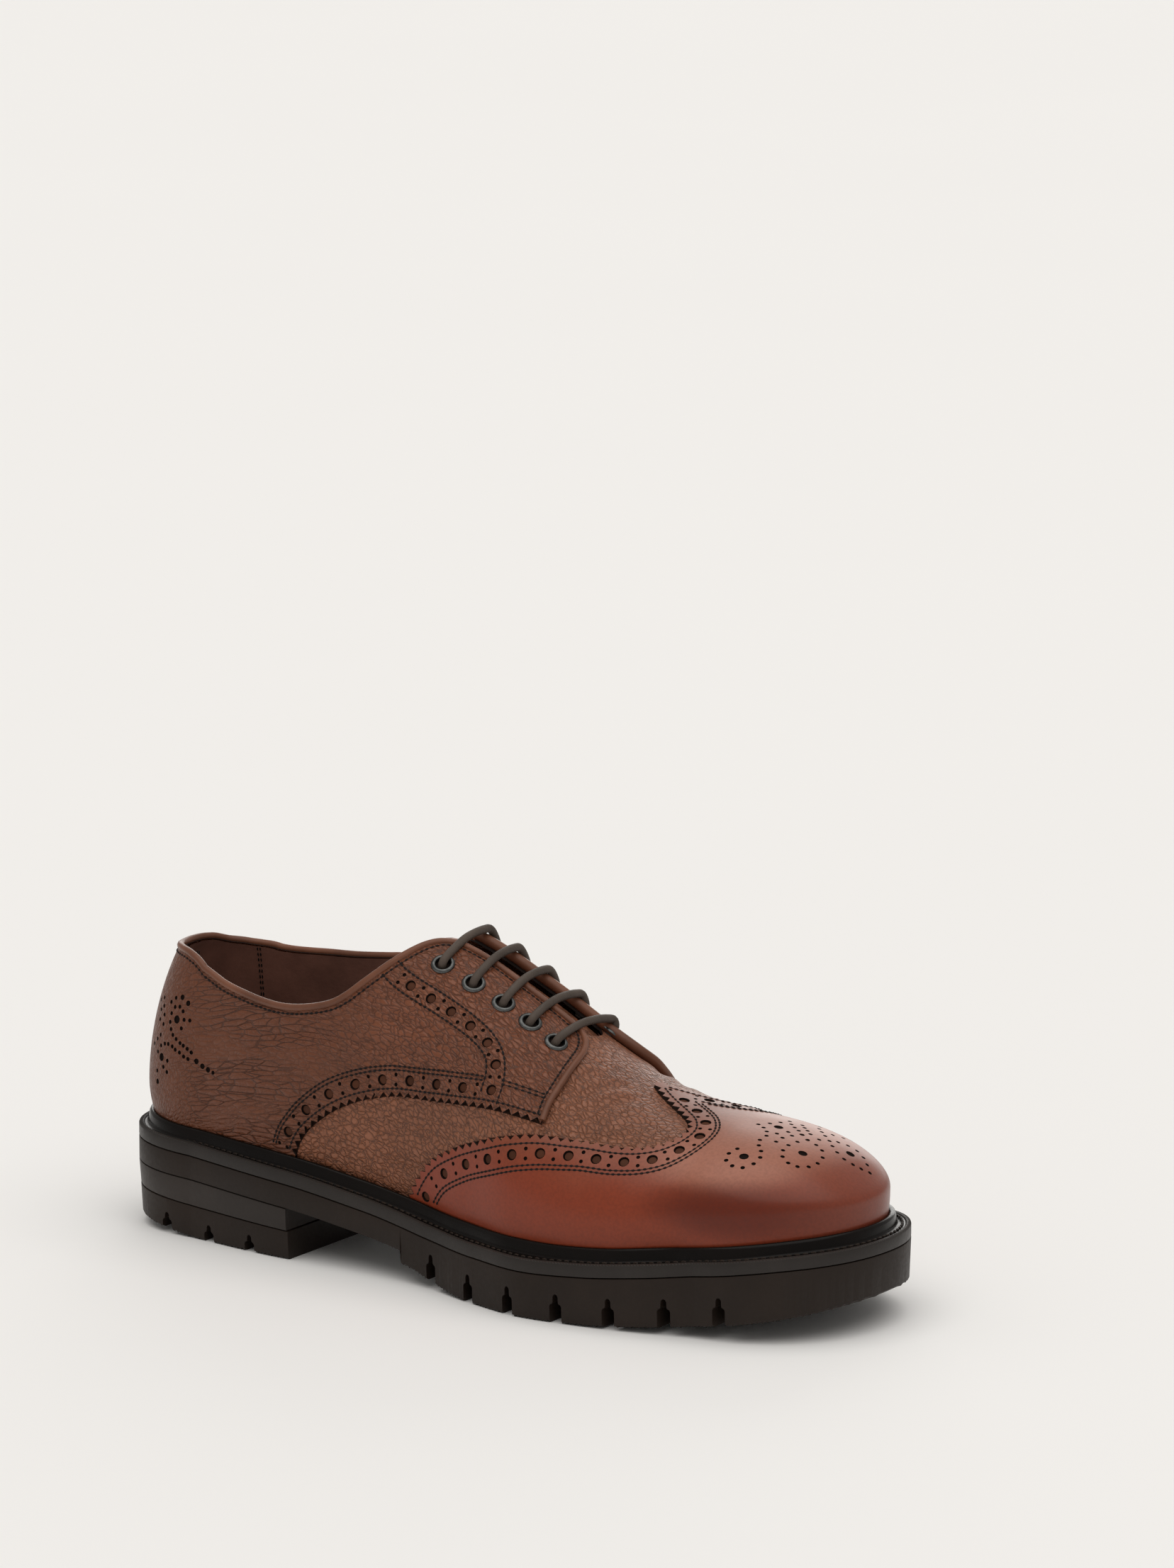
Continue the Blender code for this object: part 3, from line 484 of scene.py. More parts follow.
def pour(part, bm):
    mesh = bpy.data.meshes.new("part")
    part.to_mesh(mesh)
    part.free()
    bm.from_mesh(mesh)
    bpy.data.meshes.remove(mesh)


# The matrix that turns real millimetres at a place into pattern ones, so that a hole is round on the shoe
def patternStretch(place):
    spots = surfaceAt(place[0] + np.array([0.5, -0.5, 0, 0]), place[1] + np.array([0, 0, 0.5, -0.5]))
    steps = np.stack([spots[0] - spots[1], spots[2] - spots[3]], -1)
    return np.linalg.inv(np.linalg.cholesky(steps.T @ steps)).T


def ringAt(place, radius, turn):
    return np.asarray(place) + (patternStretch(place) @ np.stack([np.cos(turn), np.sin(turn)]) * radius).T


def holeLoop(place, size):
    count = 14 if size > 2.5 else 10 if size > 1.6 else 8
    turn = np.arange(count) * 2 * math.pi / count
    return ringAt(place, size / 2, turn)


# What shows in each hole, as painted shade: in the large ones a pressed step whose groove and walls are painted near
# black, and a raised disc of leather painted darker; the small ones are painted near black
def makePunched():
    bm = bmesh.new()
    for place, size in punched:
        big = 3.6 < size < 5
        rings = pressed["large"] if big else pressed["small"]
        turn = np.linspace(0, 2 * math.pi, 17 if big else 9)
        part = gridObject(np.stack([bend(*ringAt(place, size * share, turn).T, lift) for share, lift in rings], 1))
        bmesh.ops.recalc_face_normals(part, faces=part.faces)
        faceOut(part, part.faces, place)
        middle = Vector(toScene(bend(*np.array([place]).T, -0.6)[0]))
        for face in part.faces:
            away = (face.calc_center_median() - middle).length / mm
            # painted shade: the groove and walls of large holes and all of each small hole are near black, and the
            # inner disc is darkened leather
            face.material_index = int(not big or away > size * 0.385)
        pour(part, bm)
    register(meshObject("punchedHoles", bm), "grain_leather", "shadedHoleFloor", "holeShadow")


# Large holes along a line with a small pair across it between each two
def brogueHoles(line, start, end, pitch, first=0, ease=1.0):
    found = []
    gone = lengths(line)
    span = gone[-1] - start - end
    count = max(1, int(round(span / (pitch / 2))))
    side = offsetLine(line, 1.0) - line
    for k in range(count + 1):
        at = start + span * (k / count) ** ease
        place, across = (np.array([np.interp(at, gone, path[:, c]) for c in (0, 1)]) for path in (line, side))
        if (k + first) % 2 == 0:
            found.append((place, holes["large"]))
        else:
            along = np.array([across[1], -across[0]])
            across = squareTo(np.array([place - along, place, place + along]))[1]
            found += [(place + across * way * holes["pairSpread"], holes["small"]) for way in (-0.5, 0.5)]
    return found


punched = []


# Links a finished piece with its looks, its body and the CAD node that it stands for
def register(obj, slot, *looks, node=(), sharp=38):
    for look in looks:
        obj.data.materials.append(materials[look])
    bpy.context.scene.collection.objects.link(obj)
    obj.data.shade_smooth()
    obj.data.set_sharp_from_angle(angle=math.radians(sharp))
    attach(obj, frame["rootBody"])
    if node:
        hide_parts(*node)


# A sheet of quads through rows of points
def gridObject(points, mergeGap=1e-5):
    points = toScene(points)
    rowCount, columnCount = points.shape[:2]
    bm = bmesh.new()
    bmesh.ops.create_grid(bm, x_segments=rowCount - 1, y_segments=columnCount - 1, size=1)
    for vert in bm.verts:
        i = int(round((vert.co.x + 1) / 2 * (rowCount - 1)))
        j = int(round((vert.co.y + 1) / 2 * (columnCount - 1)))
        vert.co = points[i, j]
    bmesh.ops.remove_doubles(bm, verts=bm.verts, dist=mergeGap)
    return bm


def meshObject(name, bm):
    mesh = bpy.data.meshes.new(name)
    bm.to_mesh(mesh)
    bm.free()
    return bpy.data.objects.new(name, mesh)


def flatShape(loops):
    bm = bmesh.new()
    for loop in loops:
        bm.faces.new([bm.verts.new((x, y, 0)) for x, y in loop])
    return bm


def extrude(bm, faces, vec):
    made = bmesh.ops.extrude_face_region(bm, geom=faces)["geom"]
    move = [item for item in made if isinstance(item, bmesh.types.BMVert)]
    bmesh.ops.translate(bm, verts=move, vec=vec)


def raiseSheet(bm, height):
    bmesh.ops.recalc_face_normals(bm, faces=bm.faces)
    extrude(bm, list(bm.faces), (0, 0, height))
    bmesh.ops.recalc_face_normals(bm, faces=bm.faces)


# One bmesh cut with another, as the exact Boolean leaves it
def combine(first, second, name, operation):
    objects = [meshObject(name + "Body", first), meshObject(name + "Tool", second)]
    for obj in objects:
        bpy.context.scene.collection.objects.link(obj)
    change = objects[0].modifiers.new("cut", "BOOLEAN")
    change.operation, change.solver, change.object = operation, "EXACT", objects[1]
    graph = bpy.context.evaluated_depsgraph_get()
    mesh = bpy.data.meshes.new_from_object(objects[0].evaluated_get(graph))
    for obj in objects:
        bpy.data.objects.remove(obj, do_unlink=True)
    return mesh


def cutWith(bm, loops, name, operation):
    blade = flatShape(loops)
    bmesh.ops.translate(blade, verts=blade.verts, vec=(0, 0, -0.5))
    raiseSheet(blade, 2.0)
    mesh = combine(bm, blade, name, operation)
    made = bmesh.new()
    made.from_mesh(mesh)
    bpy.data.meshes.remove(mesh)
    return made


# A leather pattern piece: cut flat with its holes out of a ruled sheet, then bent over the last
def panel(name, outline, cuts, lift, wall, cell, inside=False):
    punched.extend(cut for cut in cuts if isinstance(cut, tuple))
    low, high = outline.min(0) - 1, outline.max(0) + 1
    counts = [int(span / cell) + 1 for span in high - low]
    place = Matrix.Translation((*(low + high) / 2, 0)) @ Matrix.Diagonal((*(high - low) / 2, 1, 1))
    sheet = bmesh.new()
    bmesh.ops.create_grid(sheet, x_segments=counts[0], y_segments=counts[1], size=1, matrix=place)
    raiseSheet(sheet, 1.0)
    bm = cutWith(sheet, [outline], name, "INTERSECT")
    if cuts:
        loops = [holeLoop(*cut) if isinstance(cut, tuple) else cut for cut in cuts]
        bm = cutWith(bm, loops, name, "DIFFERENCE")
    bm.normal_update()
    bmesh.ops.delete(bm, geom=[face for face in bm.faces if face.normal.z < -0.5], context="FACES")
    for face in bm.faces:
        face.material_index = 0 if face.normal.z > 0.5 else 1
    if not wall:
        bmesh.ops.delete(bm, geom=[face for face in bm.faces if face.material_index], context="FACES")
    uv = bm.loops.layers.uv.new("pattern")
    for face in bm.faces:
        for loop in face.loops:
            loop[uv].uv = (loop.vert.co.x * mm, loop.vert.co.y * mm)
    flat = np.array([vert.co[:] for vert in bm.verts])
    placed = toScene(bend(flat[:, 0], flat[:, 1], np.where(flat[:, 2] > 0.5, lift, lift - wall)))
    for vert, spot in zip(bm.verts, placed):
        vert.co = spot
    if inside:
        bmesh.ops.reverse_faces(bm, faces=bm.faces)
    return meshObject(name, bm)


# A round cord through points given in shoe millimetres
def tube(name, points, radius, sides):
    curve = bpy.data.curves.new(name, "CURVE")
    curve.dimensions = "3D"
    curve.bevel_depth, curve.bevel_resolution = radius * mm, sides
    curve.use_fill_caps = True
    path = toScene(points)
    line = curve.splines.new("POLY")
    line.points.add(len(path) - 1)
    for point, place in zip(line.points, path):
        point.co = (*place, 1)
    holder = bpy.data.objects.new(name + "Path", curve)
    bpy.context.scene.collection.objects.link(holder)
    graph = bpy.context.evaluated_depsgraph_get()
    mesh = bpy.data.meshes.new_from_object(holder.evaluated_get(graph))
    mesh.name = name
    mesh.materials.clear()
    bpy.data.objects.remove(holder, do_unlink=True)
    return bpy.data.objects.new(name, mesh)


# Small threads along a pattern line, each a flattened bead lying in the pressed furrow
def stitchRow(bm, line):
    gone = lengths(line)
    at = np.linspace(0, gone[-1], max(2, int(gone[-1] / stitch["pitch"])))
    path = np.stack([np.interp(at, gone, line[:, c]) for c in (0, 1)], -1)
    along = np.gradient(path, axis=0)
    along *= stitch["length"] / 2 / (np.linalg.norm(along, axis=1)[:, None] + 1e-9)
    seamLine(bm, line)
    addStitches(bm, bend(*(path - along).T), bend(*(path + along).T), normalAt(*path.T), stitch["thick"])


# The furrow that a row of stitches lies in, as a low dark ribbon
def seamLine(bm, line):
    path = resample(line, 1.2)
    edges = ((-1, stitch["sink"]), (0, stitch["rise"]), (1, stitch["sink"]))
    strip = np.stack([bend(*offsetLine(path, way * stitch["seam"]).T, lift) for way, lift in edges], 1)
    ribbon = gridObject(strip)
    bmesh.ops.reverse_faces(ribbon, faces=ribbon.faces)
    for face in ribbon.faces:
        face.material_index = 1
    pour(ribbon, bm)


def addStitches(bm, starts, ends, ups, thick):
    for start, end, up in zip(starts, ends, ups):
        way = Vector(end - start)
        length = way.length
        way.normalize()
        side = Vector(up).cross(way).normalized()
        turn = Matrix((way, side, way.cross(side))).transposed().to_4x4()
        size = Matrix.Diagonal((length / 2 * mm, thick / 2 * mm, thick / 2 * mm * 0.8, 1))
        place = Matrix.Translation(toScene((start + end) / 2)) @ turn @ size
        bmesh.ops.create_icosphere(bm, subdivisions=1, radius=1, matrix=place)


# Materials


class Nodes:
    def __init__(self, tree):
        self.tree = tree

    def add(self, kind, **values):
        node = self.tree.nodes.new(kind)
        for name, value in values.items():
            setattr(node, name, value)
        return node

    def link(self, source, target):
        self.tree.links.new(source, target)

    # Feeds a socket with a number, a colour or another node's output
    def feed(self, socket, value):
        if isinstance(value, (int, float)):
            socket.default_value = value
        elif isinstance(value, tuple):
            socket.default_value = (*value, 1)
        else:
            self.link(value, socket)

    def math(self, operation, *values):
        node = self.add("ShaderNodeMath", operation=operation)
        for socket, value in zip(node.inputs, values):
            self.feed(socket, value)
        return node.outputs[0]

    def remap(self, value, low, high, toLow=0.0, toHigh=1.0):
        node = self.add("ShaderNodeMapRange", interpolation_type="SMOOTHSTEP")
        for socket, number in zip(node.inputs, (value, low, high, toLow, toHigh)):
            self.feed(socket, number)
        return node.outputs[0]

    def mix(self, factor, first, second):
        node = self.add("ShaderNodeMix", data_type="RGBA")
        for socket, value in ((0, factor), (6, first), (7, second)):
            self.feed(node.inputs[socket], value)
        return node.outputs[2]

    def noise(self, vector, scale, detail=3.0, output="Fac"):
        node = self.add("ShaderNodeTexNoise")
        for name, value in (("Vector", vector), ("Scale", scale), ("Detail", detail), ("Roughness", 0.55)):
            self.feed(node.inputs[name], value)
        return node.outputs[output]

    # Distance from the edges between cells
    def cells(self, vector, scale):
        node = self.add("ShaderNodeTexVoronoi", feature="DISTANCE_TO_EDGE")
        self.link(vector, node.inputs["Vector"])
        node.inputs["Scale"].default_value = scale
        return node.outputs["Distance"]

    # A vector shifted this way and that by a slow noise
    def warp(self, vector, scale, amount, middle=0.0):
        centred = self.add("ShaderNodeVectorMath", operation="SUBTRACT")
        self.link(self.noise(vector, scale, 2.0, "Color"), centred.inputs[0])
        centred.inputs[1].default_value = (middle, middle, middle)
        shift = self.add("ShaderNodeVectorMath", operation="SCALE")
        self.link(centred.outputs[0], shift.inputs[0])
        shift.inputs["Scale"].default_value = amount
        moved = self.add("ShaderNodeVectorMath", operation="ADD")
        self.link(vector, moved.inputs[0])
        self.link(shift.outputs[0], moved.inputs[1])
        return moved.outputs[0]


def tint(colour, by):
    return tuple(c * by for c in colour)


def startMaterial(name, roughness, metallic=0.0, coat=0.0, coatRoughness=0.1, specular=0.28):
    made = bpy.data.materials.new(name)
    made.use_nodes = True
    nodes = Nodes(made.node_tree)
    shader = made.node_tree.nodes["Principled BSDF"]
    for socket, value in (("Roughness", roughness), ("Metallic", metallic), ("Coat Weight", coat),
                          ("Coat Roughness", coatRoughness), ("Specular IOR Level", specular)):
        shader.inputs[socket].default_value = value
    return made, nodes, shader


def objectVector(nodes):
    return nodes.add("ShaderNodeTexCoord").outputs["Object"]


def patternVector(nodes, stretch, turn):
    place = nodes.add("ShaderNodeUVMap", uv_map="pattern")
    mapping = nodes.add("ShaderNodeMapping")
    nodes.link(place.outputs[0], mapping.inputs["Vector"])
    mapping.inputs["Scale"].default_value = stretch
    mapping.inputs["Rotation"].default_value = (0, 0, turn)
    return mapping.outputs[0]


grain = {"fine": 440, "coarse": 230, "warpScale": 260, "warp": 0.0034, "pores": 1300,
         "depth": 0.00062, "roughness": 0.38}


# Pebbled hide: height, and a mask of its creases
def makeGrainGroup():
    tree = bpy.data.node_groups.new("pebbleGrain", "ShaderNodeTree")
    tree.interface.new_socket("Vector", in_out="INPUT", socket_type="NodeSocketVector")
    for name in ("Height", "Creases"):
        tree.interface.new_socket(name, in_out="OUTPUT", socket_type="NodeSocketFloat")
    nodes = Nodes(tree)
    enter, leave = nodes.add("NodeGroupInput").outputs[0], nodes.add("NodeGroupOutput")
    moved = nodes.warp(enter, grain["warpScale"], grain["warp"], 0.5)
    fine, coarse = nodes.cells(moved, grain["fine"]), nodes.cells(moved, grain["coarse"])
    pebble, line = nodes.remap(fine, 0.0, 0.26), nodes.remap(fine, 0.0, 0.10)
    where = nodes.remap(nodes.noise(enter, 75, 2.0), 0.38, 0.62)
    furrow = nodes.math("MAXIMUM", nodes.remap(coarse, 0.0, 0.09), nodes.math("MULTIPLY_ADD", where, 0.35, 0.55))
    height = nodes.math("MULTIPLY_ADD", pebble, 0.62, nodes.math("MULTIPLY", furrow, 0.35))
    height = nodes.math("MULTIPLY_ADD", nodes.noise(enter, grain["pores"], 2.0), 0.07, height)
    nodes.link(height, leave.inputs[0])
    weights = nodes.math("MULTIPLY_ADD", line, 0.72, 0.28), nodes.math("MULTIPLY_ADD", furrow, 0.6, 0.4)
    nodes.link(nodes.math("SUBTRACT", 1.0, nodes.math("MULTIPLY", *weights)), leave.inputs[1])
    return tree


grainGroup = makeGrainGroup()


def bumpFrom(nodes, shader, height, strength, distance):
    bump = nodes.add("ShaderNodeBump")
    bump.inputs["Strength"].default_value = strength
    bump.inputs["Distance"].default_value = distance
    nodes.link(height, bump.inputs["Height"])
    nodes.link(bump.outputs[0], shader.inputs["Normal"])


# Tumbled brown leather: pebbles, long flex lines, lighter flecks as painted highlights and furrows darkened as painted
# shade
def grainLeather(name, colour, stretch, turn, flow=None):
    made, nodes, shader = startMaterial(name, grain["roughness"], specular=0.3)
    group = nodes.add("ShaderNodeGroup")
    group.node_tree = grainGroup
    nodes.link(patternVector(nodes, stretch, turn), group.inputs[0])
    height, furrows = group.outputs
    place = objectVector(nodes)
    base = nodes.mix(nodes.remap(nodes.noise(place, 22, 4.0), 0.3, 0.7), tint(colour, 0.88), tint(colour, 1.12))
    # lighter flecks: painted highlights on the pebbles
    base = nodes.mix(nodes.remap(nodes.noise(place, 420), 0.5, 0.8, 0.0, 0.12), base, tint(colour, 1.5))
    # painted shade: the furrows darkened
    base = nodes.mix(furrows, base, tint(colour, 0.16))
    if flow:
        height, base = flowLines(nodes, flow, height, base, colour)
    nodes.link(base, shader.inputs["Base Color"])
    nodes.link(nodes.math("MULTIPLY_ADD", furrows, 0.22, grain["roughness"] - 0.04), shader.inputs["Roughness"])
    bumpFrom(nodes, shader, height, 1.0, grain["depth"])
    return made


# Long fine flex lines toward the heel, where the pebbles fade into smooth leather, with painted shade: darker toward
# the heel and dark in the flex creases
def flowLines(nodes, flow, height, base, colour):
    place = nodes.add("ShaderNodeUVMap", uv_map="pattern")
    split = nodes.add("ShaderNodeSeparateXYZ")
    nodes.link(place.outputs[0], split.inputs[0])
    along = split.outputs[0]
    back = nodes.remap(along, flow["start"], flow["end"])
    vector = patternVector(nodes, flow["stretch"], flow["turn"])
    cells = nodes.cells(nodes.warp(vector, 70, 0.006), flow["cells"])
    hidden = nodes.remap(nodes.noise(vector, 60, 2.0), 0.45, 0.62)
    crease = nodes.math("MAXIMUM", nodes.remap(cells, 0.0, 0.08), hidden)
    crease = nodes.math("MAXIMUM", crease, nodes.remap(along, *flow["bare"], 0.0, 0.85))
    lift = nodes.math("MULTIPLY_ADD", crease, 0.5, nodes.math("MULTIPLY", nodes.remap(cells, 0.0, 0.35), 0.35))
    gone = nodes.math("MULTIPLY", back, flow["smooth"])
    height = nodes.math("MULTIPLY", height, nodes.math("SUBTRACT", 1.0, gone))
    height = nodes.math("ADD", height, nodes.math("MULTIPLY", lift, back))
    # painted shade: the colour darker toward the heel, and dark in the flex creases
    dark = nodes.math("MULTIPLY", nodes.math("SUBTRACT", 1.0, crease), nodes.math("MULTIPLY", back, 0.65))
    return height, nodes.mix(dark, nodes.mix(gone, base, tint(colour, 0.72)), tint(colour, 0.25))


# The cap's colours, and its two painted patches on the side, a painted highlight and a painted dark reflection below
# it: centre and reach in x and z, colour and strength
cap = {
    "dark": (0.205, 0.058, 0.030), "light": (0.255, 0.076, 0.040), "low": (0.238, 0.040, 0.015),
    "paintedHighlight": ((0.104, 0.0600), (0.036, 0.0125), (0.40, 0.165, 0.110), 0.78),
    "paintedDarkReflection": ((0.1150, 0.0440), (0.038, 0.0115), (0.112, 0.013, 0.003), 0.9),
    # top is a painted pale sheen on top of the toe
    "top": (0.20, 0.085, 0.055), "tip": (0.155, 0.038, 0.022), "pores": (0.03, 0.012, 0.008),
}


# Burnished calf: red low on the sides, a painted highlight and a painted dark reflection on the side, and a painted
# pale sheen on top of the toe
def capLeather(name):
    made, nodes, shader = startMaterial(name, 0.36, coat=0.13, coatRoughness=0.22, specular=0.24)
    place = objectVector(nodes)
    split = nodes.add("ShaderNodeSeparateXYZ")
    nodes.link(place, split.inputs[0])
    x, y, z = split.outputs
    tone = nodes.noise(place, 16, 4.0)
    mottle = nodes.math("MULTIPLY_ADD", tone, 0.02, -0.01)
    base = nodes.mix(nodes.remap(tone, 0.3, 0.7), cap["dark"], cap["light"])
    base = nodes.mix(nodes.remap(nodes.math("ADD", z, mottle), 0.066, 0.044), base, cap["low"])
    # the painted highlight and the painted dark reflection, each a soft oval patch
    for centre, reach, colour, strength in (cap["paintedHighlight"], cap["paintedDarkReflection"]):
        offX = nodes.math("MULTIPLY", nodes.math("ADD", nodes.math("ADD", x, mottle), -centre[0]), 1 / reach[0])
        offZ = nodes.math("MULTIPLY", nodes.math("ADD", z, -centre[1]), 1 / reach[1])
        near = nodes.math("ADD", nodes.math("MULTIPLY", offX, offX), nodes.math("MULTIPLY", offZ, offZ))
        base = nodes.mix(nodes.remap(near, 1.0, 0.0, 0.0, strength), base, colour)
    # painted pale sheen on top of the toe
    base = nodes.mix(nodes.remap(z, 0.058, 0.070, 0.0, 0.35), base, cap["top"])
    base = nodes.mix(nodes.remap(x, 0.124, 0.150, 0.0, 0.6), base, cap["tip"])
    pores = nodes.noise(place, 900)
    base = nodes.mix(nodes.remap(pores, 0.35, 0.7, 0.0, 0.16), base, cap["pores"])
    nodes.link(base, shader.inputs["Base Color"])
    nodes.link(nodes.math("MULTIPLY_ADD", nodes.noise(place, 90), 0.16, 0.27), shader.inputs["Roughness"])
    bumpFrom(nodes, shader, pores, 0.5, 0.00008)
    return made


def plainLeather(name, colour, roughness, noiseScale=300, depth=0.00012, specular=0.26):
    made, nodes, shader = startMaterial(name, roughness, specular=specular)
    place = objectVector(nodes)
    base = nodes.mix(nodes.remap(nodes.noise(place, 40, 4.0), 0.3, 0.7), tint(colour, 0.75), tint(colour, 1.3))
    nodes.link(base, shader.inputs["Base Color"])
    fine = nodes.noise(place, noiseScale, 4.0)
    nodes.link(nodes.math("MULTIPLY_ADD", fine, 0.2, roughness - 0.1), shader.inputs["Roughness"])
    bumpFrom(nodes, shader, fine, 0.8, depth)
    return made


def rubber(name, colour, roughness):
    made, nodes, shader = startMaterial(name, roughness, specular=0.22)
    place = objectVector(nodes)
    dust = nodes.remap(nodes.noise(place, 35, 5.0), 0.4, 0.75, 0.0, 0.5)
    nodes.link(nodes.mix(dust, colour, tint(colour, 1.7)), shader.inputs["Base Color"])
    fine = nodes.noise(place, 700, 4.0)
    nodes.link(nodes.math("MULTIPLY_ADD", fine, 0.25, roughness - 0.12), shader.inputs["Roughness"])
    bumpFrom(nodes, shader, fine, 0.7, 0.00008)
    return made


flow = {"start": 0.140, "end": 0.070, "bare": (0.050, 0.012), "smooth": 0.75, "turn": 0.10,
        "stretch": (0.30, 1.3, 1), "cells": 430}
materials = {
    "vamp": grainLeather("vampLeather", (0.270, 0.102, 0.053), (0.85, 1.15, 1.0), -0.5),
    "quarter": grainLeather("quarterLeather", (0.182, 0.059, 0.027), (0.68, 1.25, 1.0), 0.18, flow),
    "cap": capLeather("capLeather"),
    # dark cut edges: dark edge dye, painted darker still as the shade along the overlay edges
    "edge": plainLeather("darkCutEdgeAndShade", (0.014, 0.007, 0.005), 0.7),
    "pipe": plainLeather("pipingLeather", (0.156, 0.061, 0.034), 0.36, 500, 0.0001),
    "lining": plainLeather("liningLeather", (0.190, 0.088, 0.064), 0.55, 350, 0.00015),
    "sock": plainLeather("sockLeather", (0.070, 0.036, 0.026), 0.6, 350, 0.00015),
    "shade": plainLeather("toothShade", (0.020, 0.009, 0.006), 0.8, specular=0.05),
    "seam": plainLeather("pressedSeam", (0.040, 0.015, 0.010), 0.7),
    # painted shade in the holes: darkened leather for the disc, near black for the walls and the small holes
    "shadedHoleFloor": plainLeather("shadedHoleFloorLeather", (0.068, 0.024, 0.012), 0.6, specular=0.12),
    "holeShadow": plainLeather("punchedHoleShadow", (0.008, 0.004, 0.003), 0.8, specular=0.1),
    "thread": plainLeather("blackThread", (0.006, 0.004, 0.004), 0.8, 1500, 0.0001),
    "lace": plainLeather("laceCord", (0.074, 0.056, 0.045), 0.62, 1100, 0.0002),
    "welt": plainLeather("weltLeather", (0.0045, 0.003, 0.0025), 0.24, 400, 0.00005, specular=0.13),
    "weltThread": plainLeather("weltThread", (0.022, 0.014, 0.010), 0.6, 900, 0.0001),
    "edgeStrip": rubber("edgeStrip", (0.023, 0.019, 0.017), 0.42),
    "sole": rubber("soleRubber", (0.016, 0.010, 0.007), 0.5),
    "lift": rubber("liftRubber", (0.028, 0.022, 0.019), 0.44),
}


def metalMaterial():
    made, nodes, shader = startMaterial("eyeletMetal", 0.34, metallic=1.0)
    wear = nodes.noise(objectVector(nodes), 700)
    base = nodes.mix(nodes.remap(wear, 0.35, 0.7), (0.085, 0.088, 0.088), (0.13, 0.132, 0.13))
    nodes.link(base, shader.inputs["Base Color"])
    bumpFrom(nodes, shader, wear, 0.4, 0.00005)
    return made


materials["metal"] = metalMaterial()
frame["rootBody"] = list(frame["bodies"])[0]
print("materials made")

# Upper

outer = {name: spline(lines[name], 0.6) for name in lines}
outer["wingInner"] = mirrorLine(outer["wing"])
outer["bandInner"] = mirrorLine(outer["band"])


# The feather line in pattern coordinates, between two steps
def footLine(side, first, last):
    table = charts[side]
    q = np.linspace(first, last, 160)
    reach = np.interp(q, table["q"], table["reach"]) + 0.5
    angle = np.interp(q, table["q"], table["angle"])
    body = (q >= 1) & (q <= 2)
    turned = np.where(q < 1, shoe["heelFan"] - reach * np.cos(angle), shoe["upperToeFan"] + reach * np.cos(angle))
    a = np.where(body, spinePoint(q)[0], turned)
    b = np.where(body, reach, reach * np.sin(angle))
    return np.stack([a, side * b], -1)


# The part of a line that lies more than a gap above the foot of the upper
def aboveFoot(line, side, gap):
    return line[np.abs(line[:, 1]) < np.interp(line[:, 0], *footReach(side)) - gap]


def makeQuarter(side):
    name = "Outer" if side < 0 else "Inner"
    collar, facing, swing = (outer[kind + name] for kind in ("collar", "facing", "swing"))
    band = outer["band" if side < 0 else "bandInner"]
    bandEnd = band[-1][0]
    swingRow = lambda away: offsetLine(swing, side * away)
    edge = swingRow(rows["swingInset"])
    notched = gimped(edge) if side < 0 else gimped(edge[::-1])[::-1]
    toothShade("swing" + name + "Shade", aboveFoot(edge, side, 1.0), -side)
    keep = aboveFoot(notched, side, 0.2)
    foot = footLine(side, stepOf(keep[-1][0]), 0.0)
    middle = side * 0.12  # half the seam at the heel's back
    outline = np.concatenate([
        [(collar[0][0], middle)], collar[1:], facing[1:-1], keep, foot[1:-1], [(foot[-1][0], middle)],
    ])
    brogue = swingRow(rows["brogue"])
    brogue = aboveFoot(brogue[brogue[:, 0] < bandEnd - 5.7], side, rows["footGap"])
    cuts = brogueHoles(brogue, 0.2, 1.0, 12.2, first=1) + brogueHoles(band, 7.4, 2.2, 10.0, first=1)
    stitches = bmesh.new()
    for away in (rows["single"], rows["double"], rows["double"] + rows["doubleGap"]):
        row = aboveFoot(swingRow(away), side, rows["footGap"])
        if away > rows["single"]:
            row = row[row[:, 0] < bandEnd - rows["bandHalf"]]
        stitchRow(stitches, row[2:-1])
    for away in (-rows["bandHalf"], rows["bandHalf"]):
        stitchRow(stitches, offsetLine(band, away)[2:])
    tab = swingRow(rows["double"])
    tab = tab[(tab[:, 0] > bandEnd + rows["bandHalf"]) & (tab[:, 0] < facing[-1][0] - 3.2)]
    if len(tab) > 3:
        stitchRow(stitches, tab)
        stitchRow(stitches, offsetLine(tab, side * rows["doubleGap"]))
    rim = np.concatenate([collar, facing[1:]])
    stitchRow(stitches, offsetLine(rim, side * (leather["pipeRadius"] + (0.9 if side < 0 else 2.2)))[6:-3])
    ornament = dots(heelDots)
    if side > 0:
        ornament = [(mirrorLine(np.array([place]))[0], size) for place, size in ornament]
    cuts += ornament + [(place, eyelet["cut"]) for place in eyeletPlaces(side)]
    quarter = panel("quarter" + name + "Leather", outline, cuts, 0.0, leather["overlay"], leather["cell"])
    register(quarter, "grain_leather", "quarter", "edge", node=["quarter_" + name.lower()])
    register(meshObject("quarter" + name + "Stitches", stitches), "welt_leather", "thread", "seam")


def footReach(side):
    a = np.linspace(shoe["heelFan"], shoe["upperToeFan"], 80)
    return a, np.interp(stepOf(a), charts[side]["q"], charts[side]["reach"])


